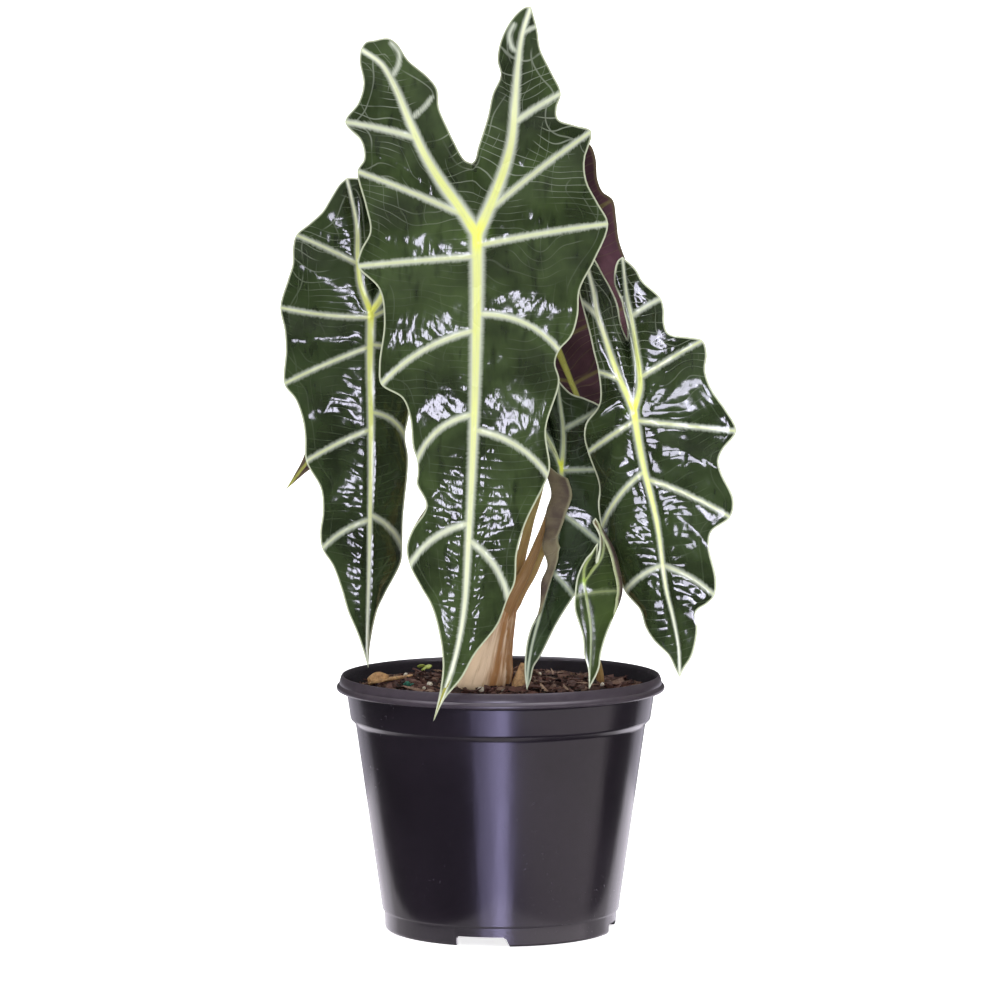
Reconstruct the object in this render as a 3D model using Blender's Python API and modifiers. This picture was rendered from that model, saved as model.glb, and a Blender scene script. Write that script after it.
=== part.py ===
"""Potted polly alocasia: seven arrow-shaped leaves rising from a brown crown in a nursery pot.

Metres, +Z up. The origin is on the pot's axis, on the surface that the foot stands on.
-Y is the front. Outlines below are in millimetres and are turned to metres by MM.
"""
import math
import random

import bmesh
import bpy
import numpy as np
from mathutils import Vector
from mathutils.bvhtree import BVHTree

MM = 0.001
GAP = 0.3 * MM

# Pot: radii and heights of a 165 mm nursery pot, in millimetres
RIM_RADIUS = 82.6
RIM_TOP = 128.4
RIM_FOLD_HEIGHT = 7.6
COLLAR_TOP_RADIUS = 77.3
COLLAR_BOTTOM_RADIUS = 75.5
COLLAR_BOTTOM = 106.0
BODY_TOP_RADIUS = 73.0
BODY_BOTTOM_RADIUS = 59.6
FOOT_RADIUS = 58.3
FOOT_HEIGHT = 9.4
FOOT_WIDTH = 3.6
FLOOR_BOTTOM = 5.6
FLOOR_TOP = 7.4
WALL = 1.6
POT_SIDES = 52
NOTCH_WIDTH = 25.0
NOTCH_HEIGHT = 4.8
NOTCH_SLANT = 3.0
NOTCH_COUNT = 4
NOTCH_ANGLE = math.radians(-98.3)
DRAIN_RADIUS = 4.5
DRAIN_PLACE = 44.0

# Soil: level at the wall, and how far it rises to the crown, in millimetres
SOIL_LEVEL = 121.4
SOIL_RISE = 1.8
SOIL_RINGS = 8
SOIL_SIDES = 32
CHIP_COUNT = 20
CHIP_SIZE = (9.0, 4.6, 3.0)
CHIP_RISE = 0.4

# Crown: the bundle of leaf bases, leaning from its foot in the soil to its top
CROWN_FOOT = (-15.7, -4.0, 108.0)
CROWN_SOIL = (-11.0, -3.0, 122.0)
CROWN_TOP = (0.3, 0.0, 165.0)
CROWN_SOIL_RADIUS = 15.2
CROWN_LOBING = 0.07
CROWN_TOP_RADIUS = 10.0
CROWN_SIDES = 24
PETIOLE_RING = 6.3
SOCKET_DEPTH = 14.0

# Blades, in millimetres
BLADE_THICKNESS = 0.9
ROW_STEP = 9.0
COLUMNS = 4
INNER_COLUMNS = 2
FOLD_RADIUS = 1.7
FOLD_FULL = 3.0
FOLD_FOLLOW = 0.8
FOLD_COLUMNS = 3
FALL_WIDTH = 22.0
RIB_HALF_WIDTH = 2.4

# Each blade hangs from its junction. Its outline is in millimetres right of and above the
# junction, as seen from the front. slope and bow shape its midrib in depth, turn its width.
# A side lists its lobes from the apex up: how far up the rib the lobe's vein starts, how much
# the vein bows, and the margin from the last vein's end to this one's.
BLADES = {
    "front": dict(
        junction=(-11.5, -62, 350.5), slope=-0.224, bow=0.0005, turn=0, faces_front=True,
        wave=2.6, quilt=2.3, groove=1.2,
        midrib=[(-21, -234.5), (-12, -209.5), (-6.5, -183), (-4, -146.5), (-1.5, -93.5), (0, -31.5)],
        left=dict(
            fall=(0.05, 0.0012),
            rib=[(-9.5, 14.5), (-17.5, 25.5), (-26, 39.5), (-33.5, 56), (-40.5, 72.5), (-47, 83), (-57, 90)],
            lobes=[
                (98, 4, [(-17.5, -217.5), (-16.5, -207), (-18, -193), (-22, -178.5), (-27, -170),
                         (-32.5, -159.5)]),
                (150.5, 4.5, [(-34, -150.5), (-31, -141.5), (-25.5, -133.5), (-24.5, -129), (-29, -120),
                              (-28.5, -115), (-29, -109)]),
                (191, 2, [(-31, -102.5), (-32.5, -87.5), (-36, -79), (-46.5, -72.5)]),
                (226.5, 1.5, [(-47.5, -63), (-45, -42), (-47.5, -26.5), (-58, -15.5)]),
                (247.5, 1.5, [(-56.5, -7.5), (-52, 1.5), (-54.5, 14.5), (-58.5, 30.5)]),
                (292, 1.5, [(-55, 37), (-56.5, 45), (-64.5, 54.5)]),
                (None, 0, [(-58, 64), (-55.5, 73), (-57.5, 84), (-57, 90)])],
            sinus=[(-2.5, 34.5), (-6, 36), (-11, 44.5), (-14.5, 52), (-18.5, 61.5), (-19.5, 70.5), (-24, 76.5),
                   (-34, 85), (-39, 92.5), (-43.5, 95.5), (-50, 94.5), (-54.5, 93.5), (-57, 90)]),
        right=dict(
            fall=(0.05, 0.0012),
            rib=[(4.5, 9.5), (9.5, 21.5), (14, 34), (17, 46), (18.5, 63), (20, 82.5), (22, 97), (26.5, 111)],
            lobes=[
                (90, 4, [(-16, -224.5), (-7, -213), (-1, -202), (10, -188), (15, -175.5)]),
                (143, 4.5, [(18.5, -167.5), (19.5, -153), (23.5, -139), (32, -122), (34.5, -116.5)]),
                (198.5, 4, [(35.5, -111.5), (33.5, -93.5), (40, -70.5), (38, -62), (40, -56)]),
                (231.5, 1.5, [(46, -49), (49, -39), (50, -26.5), (57, -13), (64, 5)]),
                (249, 2, [(59, 15), (53.5, 25.5), (52.5, 36), (56, 50)]),
                (294, 1, [(47.5, 53), (39.5, 56), (39, 61.5), (41, 68.5)]),
                (None, 0, [(36, 79.5), (31, 90), (29.5, 99.5), (26.5, 111)])],
            sinus=[(-2.5, 34.5), (-1, 36), (0.5, 42), (5, 56.5), (7.5, 68), (11.5, 77.5), (10, 85), (12, 95.5),
                   (17.5, 105.5), (23, 110.5), (26.5, 111)])),
    "left": dict(
        junction=(-64.5, -14, 311), slope=-0.09, bow=0.0003, turn=0, faces_front=True,
        wave=2.6, quilt=2.2, groove=1.0,
        midrib=[(-1.5, -177), (-2, -163), (-1, -123), (0, -62), (-0.5, -24)],
        left=dict(
            fall=(0.1, 0.001),
            rib=[(-5, 13), (-6.5, 25.5), (-7, 42.5), (-10, 58), (-12, 66.5)],
            lobes=[
                (74, 2.5, [(-6.5, -161), (-11.5, -149), (-15, -137), (-19, -126.5), (-24.5, -118)]),
                (119, 2, [(-25.5, -110), (-24, -98.5), (-25, -88), (-32.5, -74.5)]),
                (160, 1.5, [(-33, -62), (-34, -53.5), (-37.5, -44), (-43.5, -36)]),
                (174.5, -2.5, [(-42.5, -19.5), (-43, -9.5), (-45.5, 2)]),
                (202, 1, [(-41.5, 16), (-39, 24), (-39, 31.5), (-37.5, 38)]),
                (None, 0, [(-30.5, 44), (-24, 50), (-20, 56.5), (-15.5, 63.5), (-12, 66.5)])],
            sinus=[(3.5, 20.5), (2.5, 33), (2, 48), (-0.5, 60.5), (-5.5, 66), (-12, 66.5)]),
        right=dict(
            fall=(0.8, 0.0),
            rib=[(4.5, 6), (8.5, 16), (11, 28), (12.5, 43), (13.5, 58), (12.5, 66.5)],
            lobes=[
                (76.5, 2.5, [(-1, -167.5), (3, -148.5), (6.5, -141), (14.5, -125.5), (15, -119)]),
                (127.5, 2.5, [(15.5, -103.5), (18, -79.5), (18, -72), (16.5, -63)]),
                (161, 1, [(18.5, -52), (19.5, -39.5), (19, -29.5), (21, -20.5)]),
                (174.5, 0, [(20, -9.5), (20, -0.5), (22.5, 8)]),
                (200.5, 0, [(20.5, 18), (20, 26.5), (22, 35.5)]),
                (None, 0, [(19.5, 48), (17, 60.5), (12.5, 66.5)])],
            sinus=[(3.5, 20.5), (4, 33), (5, 48), (7.5, 60.5), (12.5, 66.5)])),
    "right": dict(
        junction=(66, -24, 263), slope=-0.11, bow=0.0005, turn=0, faces_front=True,
        wave=3.4, quilt=2.6, groove=1.0,
        midrib=[(23, -133), (22.5, -118.5), (19.5, -102.5), (16, -88), (11.5, -55.5), (4, -24)],
        left=dict(
            fall=(0.45, 0.0),
            rib=[(-5.5, 12), (-10, 23), (-14.5, 36.5), (-18, 47), (-20, 59), (-22.5, 69), (-24, 78)],
            lobes=[
                (57, 2, [(20.5, -128), (17.5, -122), (10, -114.5), (6, -108), (3.5, -100), (-4, -91)]),
                (104.5, 4.5, [(-10, -75), (-13.5, -68), (-15.5, -60.5)]),
                (130, 1, [(-17.5, -48), (-17, -38), (-22.5, -22)]),
                (151, 1, [(-24.5, -13.5), (-23.5, -6.5), (-17, 2.5), (-17.5, 18.5)]),
                (184, 1, [(-20, 29), (-22, 38), (-26, 53.5)]),
                (None, 0, [(-28, 64), (-27.5, 73), (-24, 78)])],
            sinus=[(-3, 34), (-6, 41.5), (-8, 52.5), (-11.5, 60.5), (-15, 66.5), (-18.5, 73), (-21.5, 77.5),
                   (-24, 78)]),
        right=dict(
            fall=(-0.2, 0.0),
            rib=[(3, 10), (3, 17), (1, 32), (-1, 45), (-3.5, 57), (-5.5, 75.5)],
            lobes=[
                (57, 3, [(25, -128.5), (29, -121.5), (31.5, -108.5), (31, -99.5), (36.5, -95.5), (40, -91.5)]),
                (100.5, 3, [(40.5, -82.5), (37, -67), (38, -60), (47.5, -52.5)]),
                (130, 0, [(49, -43.5), (43, -30.5), (41.5, -24.5), (43.5, -19.5), (50.5, -10)]),
                (151.5, 1, [(46, -0.5), (38, 11), (35, 20), (36, 28), (34, 34.5)]),
                (182, 1, [(27.5, 36), (17, 38), (15, 43.5), (15, 49.5), (13.5, 55)]),
                (None, 0, [(4.5, 63.5), (1, 69.5), (-5.5, 75.5)])],
            sinus=[(-3, 34), (-3.5, 42), (-5, 49.5), (-6.5, 55.5), (-9.5, 62), (-9.5, 69), (-8, 73.5),
                   (-5.5, 75.5)])),
    "middle": dict(
        junction=(30.5, 0, 233), slope=-0.38, bow=0.0003, turn=0, faces_front=True,
        wave=1.8, quilt=1.6, groove=0.8,
        midrib=[(-17.5, -108), (-17, -99), (-15, -87), (-11.5, -74), (-5.5, -51.5), (-1.5, -26), (0, -11)],
        left=dict(
            fall=(0.1, 0.0),
            fold=[(0, 0), (34, 0), (44, 3), (52, 5), (62, 8), (76, 6), (90, 9), (104, 8), (110, 0)],
            rib=[(-3.5, 7.5), (-6.5, 13.5), (-10.5, 20.5), (-14, 28), (-16.5, 37)],
            lobes=[
                (50, 0.5, [(-18.5, -101.5), (-18.5, -94), (-17.5, -85), (-15, -77), (-11, -70.5),
                           (-10.5, -63)]),
                (81, 0.5, [(-10, -55.5), (-7, -48), (-9.5, -38.5), (-8, -30.5)]),
                (104, 0.5, [(-7.5, -21.5), (-5, -13.5), (-6.5, -6.5)]),
                (118, 0, [(-10, 2.5), (-15.5, 10.5), (-19, 20.5)]),
                (None, 0, [(-21, 28), (-20, 34.5), (-16.5, 37)])],
            sinus=[(-7.5, 24), (-9, 30.5), (-12, 35.5), (-16.5, 37)]),
        right=dict(
            fall=(0.15, 0.0),
            rib=[(1, 8.5), (1, 18), (0, 28), (-1, 35.5), (-1.5, 42.5)],
            lobes=[
                (59, 1, [(-15.5, -103), (-14, -97), (-10.5, -91.5), (-2, -75.5), (6, -63.5)]),
                (88, 1, [(10.5, -57), (16.5, -49), (20.5, -39)]),
                (108, 0, [(20.5, -28.5), (20, -19), (23, -1.5)]),
                (128, 0, [(20.5, 8), (19.5, 19), (20.5, 28.5)]),
                (None, 0, [(12, 33.5), (5, 36), (-1.5, 42.5)])],
            sinus=[(-7.5, 24), (-6.5, 33), (-4.5, 39), (-1.5, 42.5)])),
    "young": dict(
        junction=(41, -40, 179), slope=-0.25, bow=0.0005, turn=0, faces_front=True,
        wave=1.0, quilt=0.8, groove=0.7,
        midrib=[(2.5, -52), (3, -43.5), (3.5, -23.5), (2, -11.5)],
        left=dict(
            fall=(0.3, 0.0),
            rib=[(0.5, 7), (3.5, 12.5), (7, 19)],
            lobes=[
                (46.5, 0.5, [(2, -42), (0, -35), (-0.5, -27), (-4.5, -13.5), (-4.5, -7.5)]),
                (None, 0, [(-3, 3), (1, 11), (4, 14.5), (7, 19)])],
            sinus=[(6.5, 9.5), (7, 14), (7, 19)]),
        right=dict(
            fall=(0.2, 0.0),
            fold=[(0, 0), (36, 0), (44, 3), (56, 3.5), (68, 3), (80, 2), (86, 0)],
            rib=[(4, 5), (9, 12), (10, 20.5), (6, 31)],
            lobes=[
                (46.5, 1, [(7.5, -42), (8.5, -35), (11, -26.5), (14.5, -18), (19, -5)]),
                (None, 0, [(17.5, 7.5), (15, 16), (11, 23), (6, 31)])],
            sinus=[(6.5, 9.5), (8, 16.5), (7.5, 23.5), (4.5, 29), (6, 31)])),
    "back": dict(
        junction=(14.5, 30, 325.5), slope=0.456, bow=0.00146, turn=0, faces_front=False,
        wave=2.6, quilt=2.0, groove=1.0,
        midrib=[(39.5, -96.5), (33, -80), (19, -46), (10, -23.5)],
        left=dict(
            fall=(0.15, 0.001),
            rib=[(-12, 9), (-30, 18), (-50, 26.5), (-67, 32.5)],
            lobes=[
                (20.5, 1.5, [(32, -94.5), (25, -90), (11.5, -78)]),
                (47.5, 2, [(10.5, -67), (7.5, -60.5), (-3.5, -52)]),
                (73, 2, [(-8.5, -42.5), (-14.5, -35), (-26, -25.5)]),
                (113, 1.5, [(-30, -14), (-39, -5), (-49, 5)]),
                (None, 0, [(-52.5, 13), (-61, 21.5), (-67, 32.5)])],
            sinus=[(-5.5, 13.5), (-17, 24.5), (-35, 33), (-52.5, 38), (-67, 32.5)]),
        right=dict(
            fall=(0.15, 0.001),
            rib=[(6, 13), (13.5, 30.5), (19.5, 50.5), (25, 71.5)],
            lobes=[
                (19, 1.5, [(43.5, -91), (48.5, -83.5), (54.5, -70.5)]),
                (45.5, 2, [(52.5, -60), (54, -49.5), (58, -37)]),
                (69, 2, [(55, -25.5), (55, -17.5), (56, -10)]),
                (124, 1.5, [(50, 6.5), (45, 20.5), (43.5, 30.5), (41.5, 41)]),
                (None, 0, [(36.5, 45), (34, 51), (33, 61.5), (30.5, 68), (25, 71.5)])],
            sinus=[(-5.5, 13.5), (-3.5, 28), (3, 45.5), (12, 61.5), (18.5, 69.5), (25, 71.5)])),
    "far_left": dict(
        junction=(-47, 40, 300.5), slope=0.4, bow=0.003, turn=0.2, faces_front=False,
        wave=2.2, quilt=1.6, groove=1.0,
        midrib=[(-65, -86), (-51.5, -68), (-38, -50), (-19.5, -26)],
        left=dict(
            fall=(0.15, 0.001),
            rib=[(1, 15.5), (2, 33.5), (2.5, 48.5), (2.5, 59)],
            lobes=[
                (40, 1, [(-60, -77.5), (-55, -68), (-52.5, -59.5), (-50.5, -51.5)]),
                (64.5, 1.5, [(-52.5, -42.5), (-49, -33.5), (-47.5, -23)]),
                (88.5, 1.5, [(-42, -10), (-36.5, -2), (-31.5, 10)]),
                (123, 1, [(-23.5, 21), (-19.5, 31), (-14.5, 41)]),
                (None, 0, [(-11, 48.5), (-6, 55), (2.5, 59)])],
            sinus=[(8.5, 12), (11.5, 25.5), (10.5, 43.5), (7.5, 55), (2.5, 59)]),
        right=dict(
            fall=(0.15, 0.001),
            rib=[(11, 4), (29, 9), (46.5, 15), (54.5, 17)],
            lobes=[
                (36, 1, [(-59, -80.5), (-52.5, -75), (-42.5, -69.5), (-33.5, -64)]),
                (62, 1.5, [(-28, -58.5), (-23, -54), (-12.5, -50)]),
                (86, 1.5, [(-7, -39.5), (-3, -34), (8.5, -29)]),
                (117, 1, [(16, -18.5), (23.5, -13), (36.5, -5.5)]),
                (None, 0, [(41.5, 2.5), (48, 10), (54.5, 17)])],
            sinus=[(8.5, 12), (21.5, 16.5), (36.5, 21.5), (48, 22.5), (54.5, 17)])),
}

# Leaf stalks: place round the crown's top in degrees, or where they leave the soil, then the
# points that they pass on the way to their blade, and their radii at the foot and at the blade
PETIOLES = {
    "front": dict(angle=250, radii=(2.4, 1.9), via=[(-3, -9, 190), (-6, -16, 240), (-10, -32, 300)]),
    "left": dict(angle=190, radii=(2.3, 1.6), via=[(-11, -2, 185), (-26, -1, 225), (-48, 1, 275)]),
    "right": dict(angle=10, radii=(2.3, 1.7), via=[(15.5, 3, 180), (25, 9, 198), (41, 16, 222), (56, 10, 243)]),
    "middle": dict(angle=310, radii=(2.4, 1.6), via=[(12.4, -4.5, 180), (21, -1, 200), (27.5, 4, 218)]),
    "back": dict(angle=70, radii=(2.3, 1.7), via=[(8.3, 8.3, 180), (14.5, 13, 203), (23, 19, 236), (25, 24.5, 275)]),
    "far_left": dict(angle=130, radii=(2.2, 1.5), via=[(-5.5, 10, 190), (-14, 19, 235), (-34, 26, 278)]),
    "young": dict(mouth=(50.3, 12, 126), radii=(1.7, 1.2), via=[(46.5, 4, 143), (42, -14, 162)]),
}
PETIOLE_SIDES = 2
PETIOLE_POINTS = 9
STALK_END = 4.0

STUB_FOOT = (5.5, -15.5, 110)
STUB_TOP = (11.6, -10.0, 135)
STUB_RADII = (3.4, 1.6)
SPROUT_FOOT = (-40, 57, 112)
SPROUT_TOP = (-39.4, 56, 127)
SPROUT_RADIUS = 0.9
SPROUT_LEAF = (3.6, 2.4, 0.8)
DRY_LEAF_PLACE = (-61.5, 9, 0)
DRY_LEAF_SIZE = (11.0, 8.0)
DRY_STALK_LENGTH = 21.0


def new_collection(name):
    """A collection in the scene."""
    collection = bpy.data.collections.new(name)
    bpy.context.scene.collection.children.link(collection)
    return collection


def material(name, colour, roughness, specular=0.5):
    """Principled material with one colour and finish."""
    made = bpy.data.materials.new(name)
    made.use_nodes = True
    shader = made.node_tree.nodes["Principled BSDF"]
    shader.inputs["Base Color"].default_value = (*colour, 1)
    shader.inputs["Roughness"].default_value = roughness
    shader.inputs["Specular IOR Level"].default_value = specular
    made.diffuse_color = (*colour, 1)
    return made


def add_object(name, data, collection, finish=None):
    """Named object in a collection, with its material."""
    made = bpy.data.objects.new(name, data)
    collection.objects.link(made)
    if finish:
        data.materials.append(finish)
    return made


def mesh_of(name, bm):
    """Mesh from a bmesh, which is freed."""
    mesh = bpy.data.meshes.new(name)
    bm.to_mesh(mesh)
    bm.free()
    return mesh


def as_mesh(source, name, collection):
    """Mesh copy of an object as its modifiers leave it; the source is removed."""
    bpy.context.view_layer.update()
    evaluated = source.evaluated_get(bpy.context.evaluated_depsgraph_get())
    mesh = bpy.data.meshes.new_from_object(evaluated)
    mesh.transform(source.matrix_world)
    bm = bmesh.new()
    bm.from_mesh(mesh)
    bmesh.ops.remove_doubles(bm, verts=bm.verts, dist=0.001 * MM)
    bmesh.ops.recalc_face_normals(bm, faces=bm.faces)
    bm.to_mesh(mesh)
    bm.free()
    bpy.data.objects.remove(source)
    mesh.name = name
    made = bpy.data.objects.new(name, mesh)
    collection.objects.link(made)
    return made


def as_cutter(cutter):
    """A cutter shows as wire and stays out of renders."""
    cutter.display_type = "WIRE"
    cutter.hide_render = True
    return cutter


def cut(target, cutter):
    """Cut one object out of another."""
    modifier = target.modifiers.new("cut " + cutter.name, "BOOLEAN")
    modifier.operation = "DIFFERENCE"
    modifier.solver = "EXACT"
    modifier.object = as_cutter(cutter)


def fuse(target, repeats, collection):
    """Join a collection's objects to a target as one body, and remove them."""
    modifier = target.modifiers.new("fuse", "BOOLEAN")
    modifier.operation = "UNION"
    modifier.solver = "EXACT"
    modifier.operand_type = "COLLECTION"
    modifier.collection = repeats
    name = target.name
    finish = target.data.materials[0] if target.data.materials else None
    target.name = name + "_unfused"
    made = as_mesh(target, name, collection)
    for piece in list(repeats.objects):
        bpy.data.objects.remove(piece)
    bpy.data.collections.remove(repeats)
    made.data.materials.clear()
    if finish:
        made.data.materials.append(finish)
    return made


def tube(name, points, radii, collection, finish=None, sides=PETIOLE_SIDES):
    """Tapered round stalk along points in millimetres."""
    data = bpy.data.curves.new(name, "CURVE")
    data.dimensions = "3D"
    data.bevel_depth = MM
    data.bevel_resolution = sides
    data.use_fill_caps = True
    spline = data.splines.new("POLY")
    spline.points.add(len(points) - 1)
    for point, place, radius in zip(spline.points, points, radii):
        point.co = (*(value * MM for value in place), 1)
        point.radius = radius
    return add_object(name, data, collection, finish)


def rod(name, foot, top, radius, collection, sides=16):
    """Straight round bar between two points in millimetres, for sockets."""
    start = Vector(foot) * MM
    axis = Vector(top) * MM - start
    bm = bmesh.new()
    bmesh.ops.create_cone(bm, cap_ends=True, segments=sides, radius1=radius * MM, radius2=radius * MM,
                          depth=axis.length)
    made = add_object(name, mesh_of(name, bm), collection)
    made.location = start + axis / 2
    made.rotation_mode = "QUATERNION"
    made.rotation_quaternion = axis.to_track_quat("Z", "Y")
    return made


def smooth(points, at):
    """Smooth path through points, read where at counts the points from 0."""
    knots = np.array(points, float)
    ends = np.vstack([2 * knots[0] - knots[1], knots, 2 * knots[-1] - knots[-2]])
    at = np.clip(np.asarray(at, float), 0, len(knots) - 1)
    index = np.minimum(at.astype(int), len(knots) - 2)
    part = (at - index)[:, None]
    before, start, end, after = (ends[index + k] for k in range(4))
    span = [np.maximum(np.linalg.norm(b - a, axis=1, keepdims=True), 1e-6) ** 0.5
            for a, b in ((before, start), (start, end), (end, after))]
    chord = end - start
    leave = chord + span[1] * ((start - before) / span[0] - (end - before) / (span[0] + span[1]))
    arrive = chord + span[1] * ((after - end) / span[2] - (after - start) / (span[1] + span[2]))
    return (start + leave * part + (3 * chord - 2 * leave - arrive) * part ** 2
            + (leave + arrive - 2 * chord) * part ** 3)


def measured(points, steps=24):
    """Smooth path through points, with its running length."""
    path = smooth(points, np.linspace(0, len(points) - 1, (len(points) - 1) * steps + 1))
    length = np.concatenate([[0], np.cumsum(np.linalg.norm(np.diff(path, axis=0), axis=1))])
    return path, length


def stepped(stops, step):
    """Values from the first stop to the last, through each, no further apart than step."""
    stops = sorted(set(stops))
    values = [stops[0]]
    for low, high in zip(stops, stops[1:]):
        count = max(1, math.ceil((high - low) / step - 0.25))
        values += [low + (high - low) * k / count for k in range(1, count + 1)]
    return np.array(values)


def blade_depth(blade, across, up):
    """How far a blade's mid-surface stands in front of its junction, before its own relief."""
    return blade["slope"] * up - blade["bow"] * up ** 2 - blade["turn"] * across


def blade_patch(blade, falls, rows, path, length, margin, margin_at, phase, bows, columns):
    """Points between a rib and a margin: rows run along the rib, columns out to the margin."""
    rib = np.stack([np.interp(rows, length, path[:, k]) for k in (0, 1)], -1)
    edge = smooth(margin, margin_at)
    chord = edge - rib
    width = np.linalg.norm(chord, axis=1)
    square = np.stack([-chord[:, 1], chord[:, 0]], -1) / np.maximum(width, 1e-6)[:, None]
    square *= np.where(square[:, 1] < 0, -1, 1)[:, None]
    middle = (rib + edge) / 2 + square * bows[:, None]
    first = np.minimum(RIB_HALF_WIDTH / np.maximum(width, 1e-6), 1 / columns)[:, None]
    out = np.hstack([np.zeros_like(first), first + (1 - first) * np.linspace(0, 1, columns)])
    t = out[..., None]
    flat = rib[:, None] * (1 - t) ** 2 + 2 * middle[:, None] * t * (1 - t) + edge[:, None] * t ** 2
    reach = width[:, None] * out
    ease = np.minimum(1, width / FALL_WIDTH)[:, None]
    tail = np.minimum(1, np.minimum(rows, length[-1] - rows) / FALL_WIDTH)[:, None]
    fall = falls[:, :1] * reach + falls[:, 1:] * reach ** 2
    ripple = -blade["wave"] * np.cos(2 * math.pi * phase)[:, None] * out ** 2 * ease
    puff = blade["quilt"] * np.abs(np.sin(math.pi * phase))[:, None] * 4 * out * (1 - out) * ease
    crease = blade["groove"] * np.exp(-(1.5 * reach / RIB_HALF_WIDTH) ** 2) * tail
    relief = ripple + puff - crease - fall
    if not blade["faces_front"]:
        relief = -relief
    depth = blade_depth(blade, flat[..., 0], flat[..., 1]) + relief
    return np.stack([flat[..., 0], -depth, flat[..., 1]], -1)


def fold_strip(grid, widths):
    """Margin rolled over towards the front: a round bend, then a strip that lies back inwards."""
    reach = grid[:, -1] - grid[:, 0]
    reach[:, 1] = 0
    width = np.maximum(np.linalg.norm(reach, axis=1), 1e-6)
    inward = -reach / width[:, None]
    bend = math.pi * np.clip(widths / FOLD_FULL, 0, 1)
    radius = FOLD_RADIUS * np.clip(widths / FOLD_FULL, 0, 1)
    edge = grid[:, -1] + inward * (radius * np.sin(np.minimum(bend, math.pi / 2)))[:, None]
    columns = [edge]
    for share in np.arange(1, FOLD_COLUMNS + 1) / FOLD_COLUMNS:
        angle = bend * share
        column = edge - inward * (radius * np.sin(angle))[:, None]
        column[:, 1] -= radius * (1 - np.cos(angle))
        columns.append(column)
    flap = columns[-1] + inward * widths[:, None]
    for row, column in enumerate(flap):
        out = np.linalg.norm(grid[row, :, ::2] - grid[row, 0, ::2], axis=1)
        over = np.interp(width[row] - widths[row], out, grid[row, :, 1])
        column[1] += (over - grid[row, -1, 1]) * FOLD_FOLLOW
    return np.concatenate([grid[:, :-1], np.stack(columns + [flap], 1)], 1)


def side_grids(blade, name, shared):
    """The outer patch and the inner patch, beside the sinus, of one half of a blade."""
    side = blade[name]
    path, length = measured(blade["midrib"] + [(0, 0)])
    junction = length[-1]
    basal, basal_length = measured([(0, 0)] + side["rib"])
    path = np.vstack([path, basal[1:]])
    length = np.concatenate([length, junction + basal_length[1:]])
    total = length[-1]
    roots = [root for root, bow, points in side["lobes"] if root]
    knots = [0] + roots + [total]
    bows = [0] + [bow for root, bow, points in side["lobes"]]
    margin = [blade["midrib"][0]]
    ends = [0]
    for root, bow, points in side["lobes"]:
        margin += points
        ends.append(len(margin) - 1)
    upper = stepped([junction, total] + [root for root in roots if root > junction], ROW_STEP)
    rows = np.concatenate([stepped(shared, ROW_STEP), upper[1:]])
    fall = np.array(side["fall"])
    outer = blade_patch(blade, np.tile(fall, (len(rows), 1)), rows, path, length, margin,
                        np.interp(rows, knots, ends), np.interp(rows, knots, range(len(knots))),
                        np.interp(rows, knots, bows), COLUMNS)
    if "fold" in side:
        at, widths = zip(*side["fold"])
        outer = fold_strip(outer, np.interp(rows, at, widths))
    sinus = side["sinus"]
    share = (upper - junction) / (total - junction)
    seam = (np.array(blade["left"]["fall"]) + np.array(blade["right"]["fall"])) / 2
    falls = seam + (fall - seam) * share[:, None]
    inner = blade_patch(blade, falls, upper, path, length, sinus, share * (len(sinus) - 1),
                        share * 2, np.zeros(len(upper)), INNER_COLUMNS)
    return outer, inner


def add_blade(name, blade, collection, finish):
    """Leaf blade: a waved sheet between its ribs and its cut margin, given its thickness."""
    junction = measured(blade["midrib"] + [(0, 0)])[1][-1]
    shared = [0, junction]
    for side in ("left", "right"):
        shared += [root for root, bow, points in blade[side]["lobes"] if root and root < junction]
    shared = [value for value in sorted(shared)]
    shared = [value for index, value in enumerate(shared) if index == 0 or value - shared[index - 1] > 2]
    bm = bmesh.new()
    for side in ("left", "right"):
        outer, inner = side_grids(blade, side, shared)
        for grid, flip in ((outer, side == "left"), (inner, side == "right")):
            verts = [[bm.verts.new(point * MM) for point in row] for row in grid]
            for low, high in zip(verts, verts[1:]):
                for k in range(len(low) - 1):
                    face = [low[k], low[k + 1], high[k + 1], high[k]]
                    bm.faces.new(face[::-1] if flip else face)
    bmesh.ops.remove_doubles(bm, verts=bm.verts, dist=0.12 * MM)
    bmesh.ops.dissolve_degenerate(bm, edges=bm.edges, dist=0.12 * MM)
    bmesh.ops.triangulate(bm, faces=bm.faces)
    bmesh.ops.translate(bm, verts=bm.verts, vec=Vector(blade["junction"]) * MM)
    made = add_object("blade_" + name, mesh_of(name, bm), collection, finish)
    made.data.shade_smooth()
    thick = made.modifiers.new("thickness", "SOLIDIFY")
    thick.thickness = BLADE_THICKNESS * MM
    thick.offset = 0
    return made


def underside(blade):
    """Direction in which a blade's underside faces at its junction."""
    normal = Vector((blade["turn"], 1, blade["slope"])).normalized()
    return normal if blade["faces_front"] else -normal


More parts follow.
